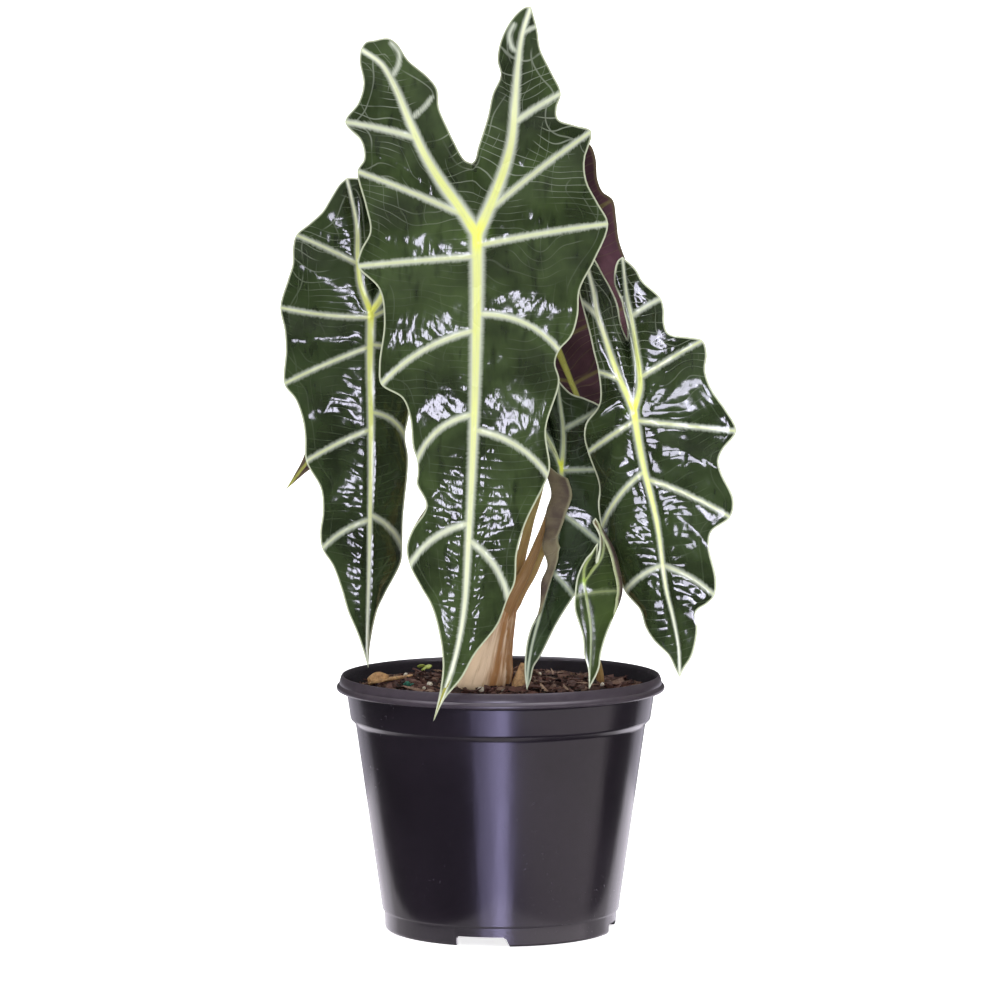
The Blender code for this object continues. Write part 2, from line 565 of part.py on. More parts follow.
def petiole_points(name):
    """Stalk from its socket, through its points, square on to the back of its blade."""
    stalk = PETIOLES[name]
    blade = BLADES[name]
    back = underside(blade)
    steepest = max(blade[side]["fall"][0] for side in ("left", "right"))
    roof = stalk["radii"][1] * steepest + BLADE_THICKNESS / 2 * math.hypot(1, steepest)
    seat = Vector(blade["junction"]) + back * (blade["groove"] + roof + GAP / MM + 0.2)
    if "angle" in stalk:
        turn = math.radians(stalk["angle"])
        mouth = Vector(CROWN_TOP) + Vector((math.cos(turn), math.sin(turn), 0)) * PETIOLE_RING
        foot = mouth - Vector(CROWN_AXIS) * SOCKET_DEPTH
    else:
        mouth = Vector(stalk["mouth"])
        foot = mouth - Vector((0, 0, SOCKET_DEPTH))
    knots = [mouth] + [Vector(point) for point in stalk["via"]] + [seat + back * STALK_END]
    path, length = measured([tuple(knot) for knot in knots])
    at = np.linspace(0, length[-1], PETIOLE_POINTS)
    points = [tuple(np.interp(value, length, path[:, k]) for k in range(3)) for value in at]
    return [tuple(foot)] + points + [tuple(seat)]


def add_petiole(name, parts, cutters, finish, holder):
    """Leaf stalk, standing in a plain socket of the crown or of the soil."""
    points = petiole_points(name)
    wide, slim = PETIOLES[name]["radii"]
    share = np.linspace(0, 1, len(points))
    radii = [wide + (slim - wide) * value for value in share]
    made = tube("petiole_" + name, points, radii, parts, finish)
    foot, mouth = Vector(points[0]), Vector(points[1])
    lead = (mouth - foot).normalized()
    socket = rod("socket_" + name, foot - lead * GAP / MM, mouth + lead * 6, wide + 0.35, cutters)
    cut(holder, socket)
    return made


CROWN_AXIS = tuple((Vector(CROWN_TOP) - Vector(CROWN_SOIL)).normalized())


def add_crown(parts, cutters, finish):
    """Crown: brown leaf bases wrapped round each other, leaning, on a stub in the soil."""
    levels = [(CROWN_FOOT, CROWN_SOIL_RADIUS, 0.0), (CROWN_SOIL, CROWN_SOIL_RADIUS, CROWN_LOBING)]
    for share, radius in ((0.18, 14.6), (0.36, 12.4), (0.56, 11.0), (0.78, 10.2), (1.0, CROWN_TOP_RADIUS)):
        centre = Vector(CROWN_SOIL).lerp(Vector(CROWN_TOP), share)
        levels.append((centre, radius, CROWN_LOBING))
    bm = bmesh.new()
    rings = []
    for level, (centre, radius, lobing) in enumerate(levels):
        ring = []
        for k in range(CROWN_SIDES):
            turn = 2 * math.pi * k / CROWN_SIDES
            wide = radius * (1 + lobing * math.cos(3 * turn + 0.25 * level))
            place = Vector(centre) + Vector((math.cos(turn) * wide, math.sin(turn) * wide, 0))
            ring.append(bm.verts.new(place * MM))
        rings.append(ring)
    for low, high in zip(rings, rings[1:]):
        for k in range(CROWN_SIDES):
            following = (k + 1) % CROWN_SIDES
            bm.faces.new([low[k], low[following], high[following], high[k]])
    bm.faces.new(rings[0][::-1])
    bm.faces.new(rings[-1])
    bmesh.ops.recalc_face_normals(bm, faces=bm.faces)
    return add_object("crown", mesh_of("crown", bm), parts, finish)


def turned(name, profile, sides, collection, finish):
    """Turned shape: a profile of radius and height in millimetres on a Screw modifier."""
    bm = bmesh.new()
    verts = [bm.verts.new((radius * MM, 0, height * MM)) for radius, height in profile]
    for first, second in zip(verts, verts[1:]):
        bm.edges.new((first, second))
    made = add_object(name, mesh_of(name, bm), collection, finish)
    screw = made.modifiers.new("turn", "SCREW")
    screw.steps = sides
    screw.render_steps = sides
    screw.use_merge_vertices = True
    screw.merge_threshold = 0.05 * MM
    screw.use_smooth_shade = True
    return made


def wall_radius(height):
    """Inner radius of the pot at a height, in millimetres."""
    heights = [FLOOR_TOP, COLLAR_BOTTOM + 1, COLLAR_BOTTOM + 4, RIM_TOP]
    radii = [BODY_BOTTOM_RADIUS - WALL, BODY_TOP_RADIUS - WALL, COLLAR_BOTTOM_RADIUS - WALL,
             COLLAR_TOP_RADIUS + 0.9]
    return float(np.interp(height, heights, radii))


def add_pot(parts, cutters, finish):
    """Nursery pot: thin turned shell with a folded rim, a collar, a notched foot ring and drain holes."""
    fold_bottom = RIM_TOP - RIM_FOLD_HEIGHT
    outer = [(RIM_RADIUS - 2.9, RIM_TOP), (RIM_RADIUS - 1.3, RIM_TOP - 3.6), (RIM_RADIUS - 0.8, RIM_TOP - 4.6),
             (RIM_RADIUS, RIM_TOP - 6.2), (RIM_RADIUS - 0.7, fold_bottom),
             (COLLAR_TOP_RADIUS, fold_bottom - 0.6), (COLLAR_BOTTOM_RADIUS, COLLAR_BOTTOM),
             (BODY_TOP_RADIUS, COLLAR_BOTTOM - 2.6), (BODY_BOTTOM_RADIUS, FOOT_HEIGHT + 0.8),
             (FOOT_RADIUS, FOOT_HEIGHT - 0.2), (FOOT_RADIUS, 0.9), (FOOT_RADIUS - 0.9, 0)]
    under = [(FOOT_RADIUS - FOOT_WIDTH, 0), (FOOT_RADIUS - FOOT_WIDTH - 0.3, FLOOR_BOTTOM), (0, FLOOR_BOTTOM)]
    inner = [(0, FLOOR_TOP), (wall_radius(FLOOR_TOP), FLOOR_TOP)]
    inner += [(wall_radius(height), height) for height in (COLLAR_BOTTOM + 1, COLLAR_BOTTOM + 4)]
    inner += [(wall_radius(RIM_TOP) - 0.2, RIM_TOP - 0.8), (RIM_RADIUS - 3.9, RIM_TOP)]
    pot = turned("pot", outer + under + inner + [outer[0]], POT_SIDES, parts, finish)
    for k in range(NOTCH_COUNT):
        turn = NOTCH_ANGLE + 2 * math.pi * k / NOTCH_COUNT
        bm = bmesh.new()
        bmesh.ops.create_cube(bm, size=1)
        for vert in bm.verts:
            vert.co.x *= (FOOT_WIDTH + 5) * MM
            vert.co.y *= NOTCH_WIDTH * MM
            if vert.co.z > 0 and vert.co.y > 0:
                vert.co.y -= NOTCH_SLANT * MM
            vert.co.z = (NOTCH_HEIGHT if vert.co.z > 0 else -2) * MM
        notch = add_object(f"notch_{k + 1}", mesh_of("notch", bm), cutters)
        middle = FOOT_RADIUS - FOOT_WIDTH / 2
        notch.location = (middle * math.cos(turn) * MM, middle * math.sin(turn) * MM, 0)
        notch.rotation_euler.z = turn
        cut(pot, notch)
        drain = (DRAIN_PLACE * math.cos(turn), DRAIN_PLACE * math.sin(turn))
        cut(pot, rod(f"drain_{k + 1}", (*drain, FLOOR_BOTTOM - 3), (*drain, FLOOR_TOP + 3), DRAIN_RADIUS, cutters))
    return pot


def soil_height(x, y):
    """Height of the soil at a place, all in millimetres."""
    bumps = (0.55 * math.sin(0.31 * x + 1.3) * math.cos(0.27 * y - 0.4)
             + 0.35 * math.sin(0.52 * y + 0.21 * x) + 0.3 * math.cos(0.45 * x - 0.33 * y))
    inside = 1 - min(1, math.hypot(x, y) / wall_radius(SOIL_LEVEL))
    return SOIL_LEVEL + SOIL_RISE * min(1, 2.2 * inside) + bumps * min(1, 6 * inside)


def ground(soil):
    """Function that gives the height in millimetres of the modelled soil under a place."""
    bpy.context.view_layer.update()
    tree = BVHTree.FromObject(soil, bpy.context.evaluated_depsgraph_get())

    def height(x, y):
        hit = tree.ray_cast(Vector((x, y, 2 * RIM_TOP)) * MM, Vector((0, 0, -1)))
        return hit[0].z / MM if hit[0] else SOIL_LEVEL

    return height


def add_soil(parts, cutters, finish):
    """Bark mix that fills the pot, with an uneven top and coarse chips grown into it."""
    side = wall_radius(SOIL_LEVEL) - GAP / MM
    rings = [side * share for share in np.linspace(1, 0, SOIL_RINGS + 1)]
    walls = [(wall_radius(height) - GAP / MM, height) for height in (COLLAR_BOTTOM + 4, COLLAR_BOTTOM + 1)]
    bottom = FLOOR_TOP + GAP / MM
    profile = [(0 if radius < 1 else radius, SOIL_LEVEL) for radius in rings[::-1]]
    profile += walls + [(wall_radius(bottom) - 1.2, bottom), (0, bottom)]
    base = turned("soil_base", profile, SOIL_SIDES, parts, None)
    soil = as_mesh(base, "soil", parts)
    for vert in soil.data.vertices:
        if vert.co.z > (SOIL_LEVEL - 1) * MM:
            vert.co.z = soil_height(vert.co.x / MM, vert.co.y / MM) * MM
    soil.data.materials.append(finish)
    height = ground(soil)
    chips = new_collection("chips")
    chance = random.Random(11)
    placed = []
    while len(placed) < CHIP_COUNT:
        radius = 66 * math.sqrt(chance.random())
        turn = chance.uniform(0, 2 * math.pi)
        x, y = radius * math.cos(turn), radius * math.sin(turn)
        keep_off = [(CROWN_SOIL[0], CROWN_SOIL[1], 23), (STUB_FOOT[0] + 3, STUB_FOOT[1] + 3, 13),
                    (SPROUT_FOOT[0], SPROUT_FOOT[1], 9), (50, 12, 10), (DRY_LEAF_PLACE[0], DRY_LEAF_PLACE[1], 16),
                    (-50, 22, 14)]
        if any(math.hypot(x - a, y - b) < room for a, b, room in keep_off):
            continue
        if any(math.hypot(x - a, y - b) < 11 for a, b in placed):
            continue
        placed.append((x, y))
        bm = bmesh.new()
        bmesh.ops.create_cube(bm, size=1)
        scale = chance.uniform(0.75, 1.25)
        for vert in bm.verts:
            for axis in range(3):
                vert.co[axis] *= CHIP_SIZE[axis] * scale * chance.uniform(0.75, 1.1) * MM
        chip = add_object("chip", mesh_of("chip", bm), chips)
        chip.location = (x * MM, y * MM, (height(x, y) + CHIP_RISE) * MM)
        chip.rotation_euler = (chance.uniform(-0.25, 0.25), chance.uniform(-0.25, 0.25), chance.uniform(0, 3.1))
    return fuse(soil, chips, parts)


def add_stub(parts, cutters, finish, soil):
    """Tan stub of an old leaf stalk, beside the crown."""
    share = (SOIL_LEVEL + SOIL_RISE + 3 - STUB_FOOT[2]) / (STUB_TOP[2] - STUB_FOOT[2])
    foot, top = Vector(STUB_FOOT), Vector(STUB_TOP)
    mouth = foot.lerp(top, share)
    made = tube("old_stalk", [foot, foot.lerp(top, 0.4), mouth, top],
                [STUB_RADII[0]] * 3 + [STUB_RADII[1]], parts, finish)
    axis = (top - foot).normalized()
    cut(soil, rod("socket_old_stalk", foot - axis * GAP / MM, top, STUB_RADII[0] + 0.35, cutters))
    return made


def add_sprout(parts, cutters, finish, soil):
    """Lime green seedling at the back of the pot: a stem with two round seed leaves."""
    stem = tube("sprout_stem", [SPROUT_FOOT, SPROUT_TOP], [SPROUT_RADIUS] * 2, parts, finish)
    sprout = as_mesh(stem, "sprout", parts)
    sprout.data.materials.append(finish)
    leaves = new_collection("seed_leaves")
    for turn in (0.4, 0.4 + math.pi):
        bm = bmesh.new()
        bmesh.ops.create_uvsphere(bm, u_segments=12, v_segments=6, radius=1)
        for vert in bm.verts:
            for axis in range(3):
                vert.co[axis] *= SPROUT_LEAF[axis] * MM
        leaf = add_object("seed_leaf", mesh_of("seed_leaf", bm), leaves)
        reach = SPROUT_LEAF[0] - 0.5
        leaf.location = Vector(SPROUT_TOP) * MM + Vector((math.cos(turn) * reach, math.sin(turn) * reach, 0.2)) * MM
        leaf.rotation_euler = (0.35, -0.3, turn)
    sprout = fuse(sprout, leaves, parts)
    foot, top = Vector(SPROUT_FOOT), Vector(SPROUT_TOP)
    axis = (top - foot).normalized()
    cut(soil, rod("socket_sprout", foot - axis * GAP / MM, top, SPROUT_RADIUS + 0.35, cutters))
    return sprout


def add_dry_leaf(parts, finish, soil):
    """Fallen dry leaf, curled, lying on the soil with its stalk."""
    long, wide = DRY_LEAF_SIZE
    x, y = DRY_LEAF_PLACE[:2]
    bm = bmesh.new()
    rows = []
    for i in range(7):
        along = i / 6
        half = wide / 2 * math.sin(math.pi * (0.12 + 0.8 * along)) ** 0.8
        row = []
        for j in range(5):
            side = j / 2 - 1
            curl = 2.4 * side ** 2 + 1.2 * math.sin(math.pi * along)
            row.append(bm.verts.new(Vector(((along - 0.5) * long, side * half, curl)) * MM))
        rows.append(row)
    for low, high in zip(rows, rows[1:]):
        for k in range(4):
            bm.faces.new([low[k], low[k + 1], high[k + 1], high[k]])
    bmesh.ops.triangulate(bm, faces=bm.faces)
    sheet = add_object("dry_leaf_sheet", mesh_of("dry_leaf", bm), parts)
    thick = sheet.modifiers.new("thickness", "SOLIDIFY")
    thick.thickness = 0.8 * MM
    thick.offset = 0
    sheet.rotation_euler = (0.5, -0.15, 0.35)
    leaf = as_mesh(sheet, "dry_leaf", parts)
    leaf.data.materials.append(finish)
    stalks = new_collection("dry_stalks")
    start = Vector((long * 0.3, 1.2, 1.2))
    bend = start + Vector((DRY_STALK_LENGTH * 0.4, DRY_STALK_LENGTH * 0.32, 0.4))
    end = start + Vector((DRY_STALK_LENGTH * 0.62, DRY_STALK_LENGTH * 0.78, 0.2))
    as_mesh(tube("dry_stalk", [start, bend, end], [1.1, 0.8, 0.6], parts), "dry_stalk", stalks)
    leaf = fuse(leaf, stalks, parts)
    height = ground(soil)
    lift = max(height(x + vert.co.x / MM, y + vert.co.y / MM) - vert.co.z / MM for vert in leaf.data.vertices)
    for vert in leaf.data.vertices:
        vert.co += Vector((x, y, lift + 0.35)) * MM
    return leaf


def main():
    """Build the plant and its pot."""
    for old in list(bpy.data.objects):
        bpy.data.objects.remove(old)
    parts = new_collection("potted_polly_alocasia")
    cutters = new_collection("cutters")
    black = material("glossy black pot plastic", (0.012, 0.010, 0.013), 0.28)
    bark = material("bark potting mix", (0.045, 0.022, 0.013), 0.9)
    brown = material("dry leaf sheaths", (0.28, 0.14, 0.07), 0.6)
    tan = material("tan old stalk", (0.48, 0.27, 0.10), 0.65)
    lime = material("lime seedling", (0.38, 0.42, 0.08), 0.5)
    green = material("dark leaf blade", (0.016, 0.038, 0.012), 0.18)
    fresh = material("young leaf blade", (0.03, 0.07, 0.015), 0.25)
    stalk = material("olive leaf stalk", (0.30, 0.30, 0.08), 0.45)
    add_pot(parts, cutters, black)
    soil = add_soil(parts, cutters, bark)
    crown = add_crown(parts, cutters, brown)
    low, high = Vector(CROWN_FOOT), Vector(CROWN_SOIL)
    lead = (high - low).normalized()
    hole = (CROWN_SOIL_RADIUS * (1 + CROWN_LOBING) + GAP / MM) / math.cos(math.pi / CROWN_SIDES)
    slant = hole * math.tan(lead.angle(Vector((0, 0, 1)))) + GAP / MM
    cut(soil, rod("socket_crown", low - lead * slant, high + lead * 12, hole, cutters, CROWN_SIDES))
    for name, blade in BLADES.items():
        add_blade(name, blade, parts, fresh if name == "young" else green)
        add_petiole(name, parts, cutters, stalk, soil if "mouth" in PETIOLES[name] else crown)
    add_stub(parts, cutters, tan, soil)
    add_sprout(parts, cutters, lime, soil)
    add_dry_leaf(parts, tan, soil)


main()
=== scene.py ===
"""Potted polly alocasia in soft studio light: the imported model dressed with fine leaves, bark and pot.

Metres, +Z up, -Y the front. Outlines are in millimetres and are turned to metres by MM.
"""
import math
import random
from functools import partial

import bmesh
import bpy
import numpy as np
from mathutils import Matrix, Vector


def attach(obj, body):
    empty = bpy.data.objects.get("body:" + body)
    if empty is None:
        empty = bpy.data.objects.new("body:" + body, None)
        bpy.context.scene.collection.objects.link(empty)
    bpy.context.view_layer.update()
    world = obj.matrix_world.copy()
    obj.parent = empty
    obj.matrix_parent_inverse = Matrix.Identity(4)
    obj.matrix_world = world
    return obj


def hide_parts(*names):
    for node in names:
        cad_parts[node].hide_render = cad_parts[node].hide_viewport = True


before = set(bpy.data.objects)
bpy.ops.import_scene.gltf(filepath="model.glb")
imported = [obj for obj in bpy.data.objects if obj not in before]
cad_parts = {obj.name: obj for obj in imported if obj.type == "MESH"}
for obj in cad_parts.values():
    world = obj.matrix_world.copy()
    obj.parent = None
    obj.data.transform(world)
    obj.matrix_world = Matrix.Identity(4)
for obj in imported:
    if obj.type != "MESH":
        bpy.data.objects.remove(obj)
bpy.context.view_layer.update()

MM = 0.001

# Fine blades, in millimetres: thickness, spacing of rows and columns, columns beside a rib, rolled
# margins, the width that a blade's relief needs to grow in, the groove over a rib, the spacing of
# cross folds, and a distance that is out of reach of any vein
LEAF = 0.5
STEP = 1.25
RIB_COLUMNS = np.array([0, 0.5, 1.0, 1.6, 2.4])
FOLD_RADIUS = 1.7
FOLD_FULL = 3.0
FOLD_FOLLOW = 0.8
FOLD_COLUMNS = 8
FLAP_COLUMNS = 6
FALL_WIDTH = 22.0
GROOVE_WIDTH = 1.6
LADDER_STEP = 4.2
FAR = 99.0

# Places of the distances in the values that a blade's points carry
TO_RIB, TO_VEIN, TO_EDGE, HALF = 3, 4, 5, 6

# Each blade hangs from its junction. Its outline is in millimetres right of and above the
# junction, as seen from the front. slope and bow shape its midrib in depth, turn its width.
# wave, quilt, ladder and swell are depths of its relief, and calm and rungs their shares above.
# A side has its basal rib out to its tip, the inner margin from the junction to that tip, and its
# lobes from the apex up: how far up the rib the lobe's vein starts, how much the vein bows, and
# the margin from the last vein's end to this one's. The last lobe ends at the tip.
BLADES = {}
BLADES["front"] = dict(
    junction=(-11.5, -62, 350.5), slope=-0.224, bow=0.0005, turn=0, faces_front=True, wave=2.6,
    quilt=1.5, groove=1.2, rib_size=1.0, width=100, calm=0.5, ladder=0.21, rungs=0.1, swell=0.6,
    seed=1.7,
    midrib=[(-21, -234.5), (-12, -209.5), (-6.5, -183), (-4, -146.5), (-1.5, -93.5), (0, -31.5)],
    twigs=[[(-42, 76), (-38.6, 82), (-38.2, 88), (-42, 93)], [(-31, 57), (-25.5, 62), (-22, 66.5)],
           [(20.8, 92), (23, 98), (28.5, 101)], [(20.5, 88), (17, 91), (15.8, 97), (18, 102)]],
    left=dict(
        fall=(0.05, 0.0012),
        rib=[(-9.5, 14.5), (-17.5, 25.5), (-26, 39.5), (-33.5, 56), (-40.5, 72.5), (-47, 83), (-57, 90)],
        sinus=[(-2.5, 34.5), (-6, 36), (-11, 44.5), (-14.5, 52), (-18.5, 61.5), (-19.5, 70.5),
               (-24, 76.5), (-34, 85), (-39, 92.5), (-43.5, 95.5), (-50, 94.5), (-54.5, 93.5)],
        lobes=[
            (98, 8, [(-17.5, -217.5), (-16.5, -207), (-18, -193), (-22, -178.5), (-27, -170),
             (-32.5, -159.5)]),
            (150.5, 10, [(-34, -150.5), (-31, -141.5), (-25.5, -133.5), (-24.5, -129), (-29, -120),
             (-28.5, -115), (-29, -109)]),
            (191, 8.5, [(-31, -102.5), (-32.5, -87.5), (-36, -79), (-46.5, -72.5)]),
            (226.5, 0.5, [(-47.5, -63), (-45, -42), (-47.5, -26.5), (-58, -15.5)]),
            (247.5, 1.5, [(-56.5, -7.5), (-52, 1.5), (-54.5, 14.5), (-58.5, 30.5)]),
            (292, 1.5, [(-55, 37), (-56.5, 45), (-64.5, 54.5)]),
            (None, 0, [(-58, 64), (-55.5, 73), (-57.5, 84)])]),
    right=dict(
        fall=(0.05, 0.0012),
        rib=[(4.5, 9.5), (9.5, 21.5), (14, 34), (17, 46), (18.5, 63), (20, 82.5), (22, 97), (26.5, 111)],
        sinus=[(-2.5, 34.5), (-1, 36), (0.5, 42), (5, 56.5), (7.5, 68), (11.5, 77.5), (10, 85),
               (12, 95.5), (17.5, 105.5), (23, 110.5)],
        lobes=[
            (90, 7, [(-16, -224.5), (-7, -213), (-1, -202), (10, -188), (15, -175.5)]),
            (143, 9, [(18.5, -167.5), (19.5, -153), (23.5, -139), (32, -122), (34.5, -116.5)]),
            (198.5, 11, [(35.5, -111.5), (33.5, -93.5), (40, -70.5), (38, -62), (40, -56)]),
            (231.5, 1.5, [(46, -49), (49, -39), (50, -26.5), (57, -13), (64, 5)]),
            (249, 2, [(59, 15), (53.5, 25.5), (52.5, 36), (56, 50)]),
            (294, 1, [(47.5, 53), (39.5, 56), (39, 61.5), (41, 68.5)]),
            (None, 0, [(36, 79.5), (31, 90), (29.5, 99.5)])]))
BLADES["left"] = dict(
    junction=(-64.5, -14, 311), slope=-0.09, bow=0.0003, turn=0, faces_front=True, wave=2.6, quilt=2.2,
    groove=1.0, rib_size=0.6, width=42, calm=0.8, ladder=0.23, rungs=0.3, swell=0.55, seed=0.6,
    midrib=[(-1.5, -177), (-2, -163), (-1, -123), (0, -62), (-0.5, -24)],
    left=dict(
        fall=(0.1, 0.001), rib=[(-5, 13), (-6.5, 25.5), (-7, 42.5), (-10, 58), (-12, 66.5)],
        sinus=[(3.5, 20.5), (2.5, 33), (2, 48), (-0.5, 60.5), (-5.5, 66)],
        lobes=[
            (74, 4, [(-6.5, -161), (-11.5, -149), (-15, -137), (-19, -126.5), (-24.5, -118)]),
            (119, 2, [(-25.5, -110), (-24, -98.5), (-25, -88), (-32.5, -74.5)]),
            (160, 1.5, [(-33, -62), (-34, -53.5), (-37.5, -44), (-43.5, -36)]),
            (174.5, -2.5, [(-42.5, -19.5), (-43, -9.5), (-45.5, 2)]),
            (202, 1, [(-41.5, 16), (-39, 24), (-39, 31.5), (-37.5, 38)]),
            (None, 0, [(-30.5, 44), (-24, 50), (-20, 56.5), (-15.5, 63.5)])]),
    right=dict(
        fall=(0.8, 0.0), rib=[(4.5, 6), (8.5, 16), (11, 28), (12.5, 43), (13.5, 58), (12.5, 66.5)],
        sinus=[(3.5, 20.5), (4, 33), (5, 48), (7.5, 60.5)],
        lobes=[
            (76.5, 5, [(-1, -167.5), (3, -148.5), (6.5, -141), (14.5, -125.5), (15, -119)]),
            (127.5, 6, [(15.5, -103.5), (18, -79.5), (18, -72), (16.5, -63)]),
            (161, 1, [(18.5, -52), (19.5, -39.5), (19, -29.5), (21, -20.5)]),
            (174.5, 0, [(20, -9.5), (20, -0.5), (22.5, 8)]),
            (200.5, 0, [(20.5, 18), (20, 26.5), (22, 35.5)]),
            (None, 0, [(19.5, 48), (17, 60.5)])]))
BLADES["right"] = dict(
    junction=(66, -24, 263), slope=-0.11, bow=0.0005, turn=0, faces_front=True, wave=3.0, quilt=1.6,
    groove=1.0, rib_size=0.62, width=62, calm=0.95, ladder=0.22, rungs=0.45, swell=0.62, seed=2.9,
    midrib=[(23, -133), (22.5, -118.5), (19.5, -102.5), (16, -88), (11.5, -55.5), (4, -24)],
    left=dict(
        fall=(0.22, 0.006),
        rib=[(-5.5, 12), (-10, 23), (-14.5, 36.5), (-18, 47), (-20, 59), (-22.5, 69), (-24, 78)],
        sinus=[(-3, 34), (-6, 41.5), (-8, 52.5), (-11.5, 60.5), (-15, 66.5), (-18.5, 73),
               (-21.5, 77.5)],
        lobes=[
            (57, 4, [(20.5, -128), (17.5, -122), (10, -114.5), (6, -108), (3.5, -100), (-4, -91)]),
            (104.5, 6, [(-10, -75), (-13.5, -68), (-15.5, -60.5)]),
            (130, 1, [(-17.5, -48), (-17, -38), (-22.5, -22)]),
            (151, 1, [(-24.5, -13.5), (-23.5, -6.5), (-17, 2.5), (-17.5, 18.5)]),
            (184, 1, [(-20, 29), (-22, 38), (-26, 53.5)]),
            (None, 0, [(-28, 64), (-27.5, 73)])]),
    right=dict(
        fall=(-0.2, 0.0), rib=[(3, 10), (3, 17), (1, 32), (-1, 45), (-3.5, 57), (-5.5, 75.5)],
        sinus=[(-3, 34), (-3.5, 42), (-5, 49.5), (-6.5, 55.5), (-9.5, 62), (-9.5, 69), (-8, 73.5)],
        lobes=[
            (57, 3.5, [(25, -128.5), (29, -121.5), (31.5, -108.5), (31, -99.5), (36.5, -95.5),
             (40, -91.5)]),
            (100.5, 3, [(40.5, -82.5), (37, -67), (38, -60), (47.5, -52.5)]),
            (130, 0, [(49, -43.5), (43, -30.5), (41.5, -24.5), (43.5, -19.5), (50.5, -10)]),
            (151.5, 1, [(46, -0.5), (38, 11), (35, 20), (36, 28), (34, 34.5)]),
            (182, 1, [(27.5, 36), (17, 38), (15, 43.5), (15, 49.5), (13.5, 55)]),
            (None, 0, [(4.5, 63.5), (1, 69.5)])]))
BLADES["middle"] = dict(
    junction=(30.5, 0, 233), slope=-0.38, bow=0.0003, turn=0, faces_front=True, wave=1.8, quilt=1.6,
    groove=0.8, rib_size=0.42, width=36, calm=0.8, ladder=0.2, rungs=0.4, swell=0.5, seed=4.1,
    midrib=[(-17.5, -108), (-17, -99), (-15, -87), (-11.5, -74), (-5.5, -51.5), (-1.5, -26), (0, -11)],
    left=dict(
        fall=(0.1, 0.0),
        fold=[(0, 0), (34, 0), (44, 3), (52, 5), (62, 8), (76, 6), (90, 9), (104, 8), (110, 0)],
        rib=[(-3.5, 7.5), (-6.5, 13.5), (-10.5, 20.5), (-14, 28), (-16.5, 37)],
        sinus=[(-7.5, 24), (-9, 30.5), (-12, 35.5)],
        lobes=[
            (50, 0.5, [(-18.5, -101.5), (-18.5, -94), (-17.5, -85), (-15, -77), (-11, -70.5),
             (-10.5, -63)]),
            (81, 0.5, [(-10, -55.5), (-7, -48), (-9.5, -38.5), (-8, -30.5)]),
            (104, 0.5, [(-7.5, -21.5), (-5, -13.5), (-6.5, -6.5)]),
            (118, 0, [(-10, 2.5), (-15.5, 10.5), (-19, 20.5)]),
            (None, 0, [(-21, 28), (-20, 34.5)])]),
    right=dict(
        fall=(0.15, 0.0), rib=[(1, 8.5), (1, 18), (0, 28), (-1, 35.5), (-1.5, 42.5)],
        sinus=[(-7.5, 24), (-6.5, 33), (-4.5, 39)],
        lobes=[
            (59, 1, [(-15.5, -103), (-14, -97), (-10.5, -91.5), (-2, -75.5), (6, -63.5)]),
            (88, 1, [(10.5, -57), (16.5, -49), (20.5, -39)]),
            (108, 0, [(20.5, -28.5), (20, -19), (23, -1.5)]),
            (128, 0, [(20.5, 8), (19.5, 19), (20.5, 28.5)]),
            (None, 0, [(12, 33.5), (5, 36)])]))
BLADES["young"] = dict(
    junction=(41, -40, 179), slope=-0.25, bow=0.0005, turn=0, faces_front=True, wave=1.0, quilt=0.8,
    groove=0.7, rib_size=0.24, width=22, calm=1.0, ladder=0.12, rungs=0.3, swell=0.3, seed=5.3,
    midrib=[(2.5, -52), (3, -43.5), (3.5, -23.5), (2, -11.5)],
    left=dict(
        fall=(0.3, 0.0), rib=[(0.5, 7), (3.5, 12.5), (7, 19)],
        sinus=[(6.5, 9.5), (7, 14)],
        lobes=[
            (46.5, 0.5, [(2, -42), (0, -35), (-0.5, -27), (-4.5, -13.5), (-4.5, -7.5)]),
            (None, 0, [(-3, 3), (1, 11), (4, 14.5)])]),
    right=dict(
        fall=(0.2, 0.0),
        fold=[(0, 0), (36, 0), (44, 2.2), (56, 2.5), (68, 2.4), (80, 2), (86, 0)],
        rib=[(4, 5), (9, 12), (10, 20.5), (6, 31)],
        sinus=[(6.5, 9.5), (8, 16.5), (7.5, 23.5), (4.5, 29)],
        lobes=[
            (46.5, 1, [(7.5, -42), (8.5, -35), (11, -26.5), (14.5, -18), (19, -5)]),
            (None, 0, [(17.5, 7.5), (15, 16), (11, 23)])]))
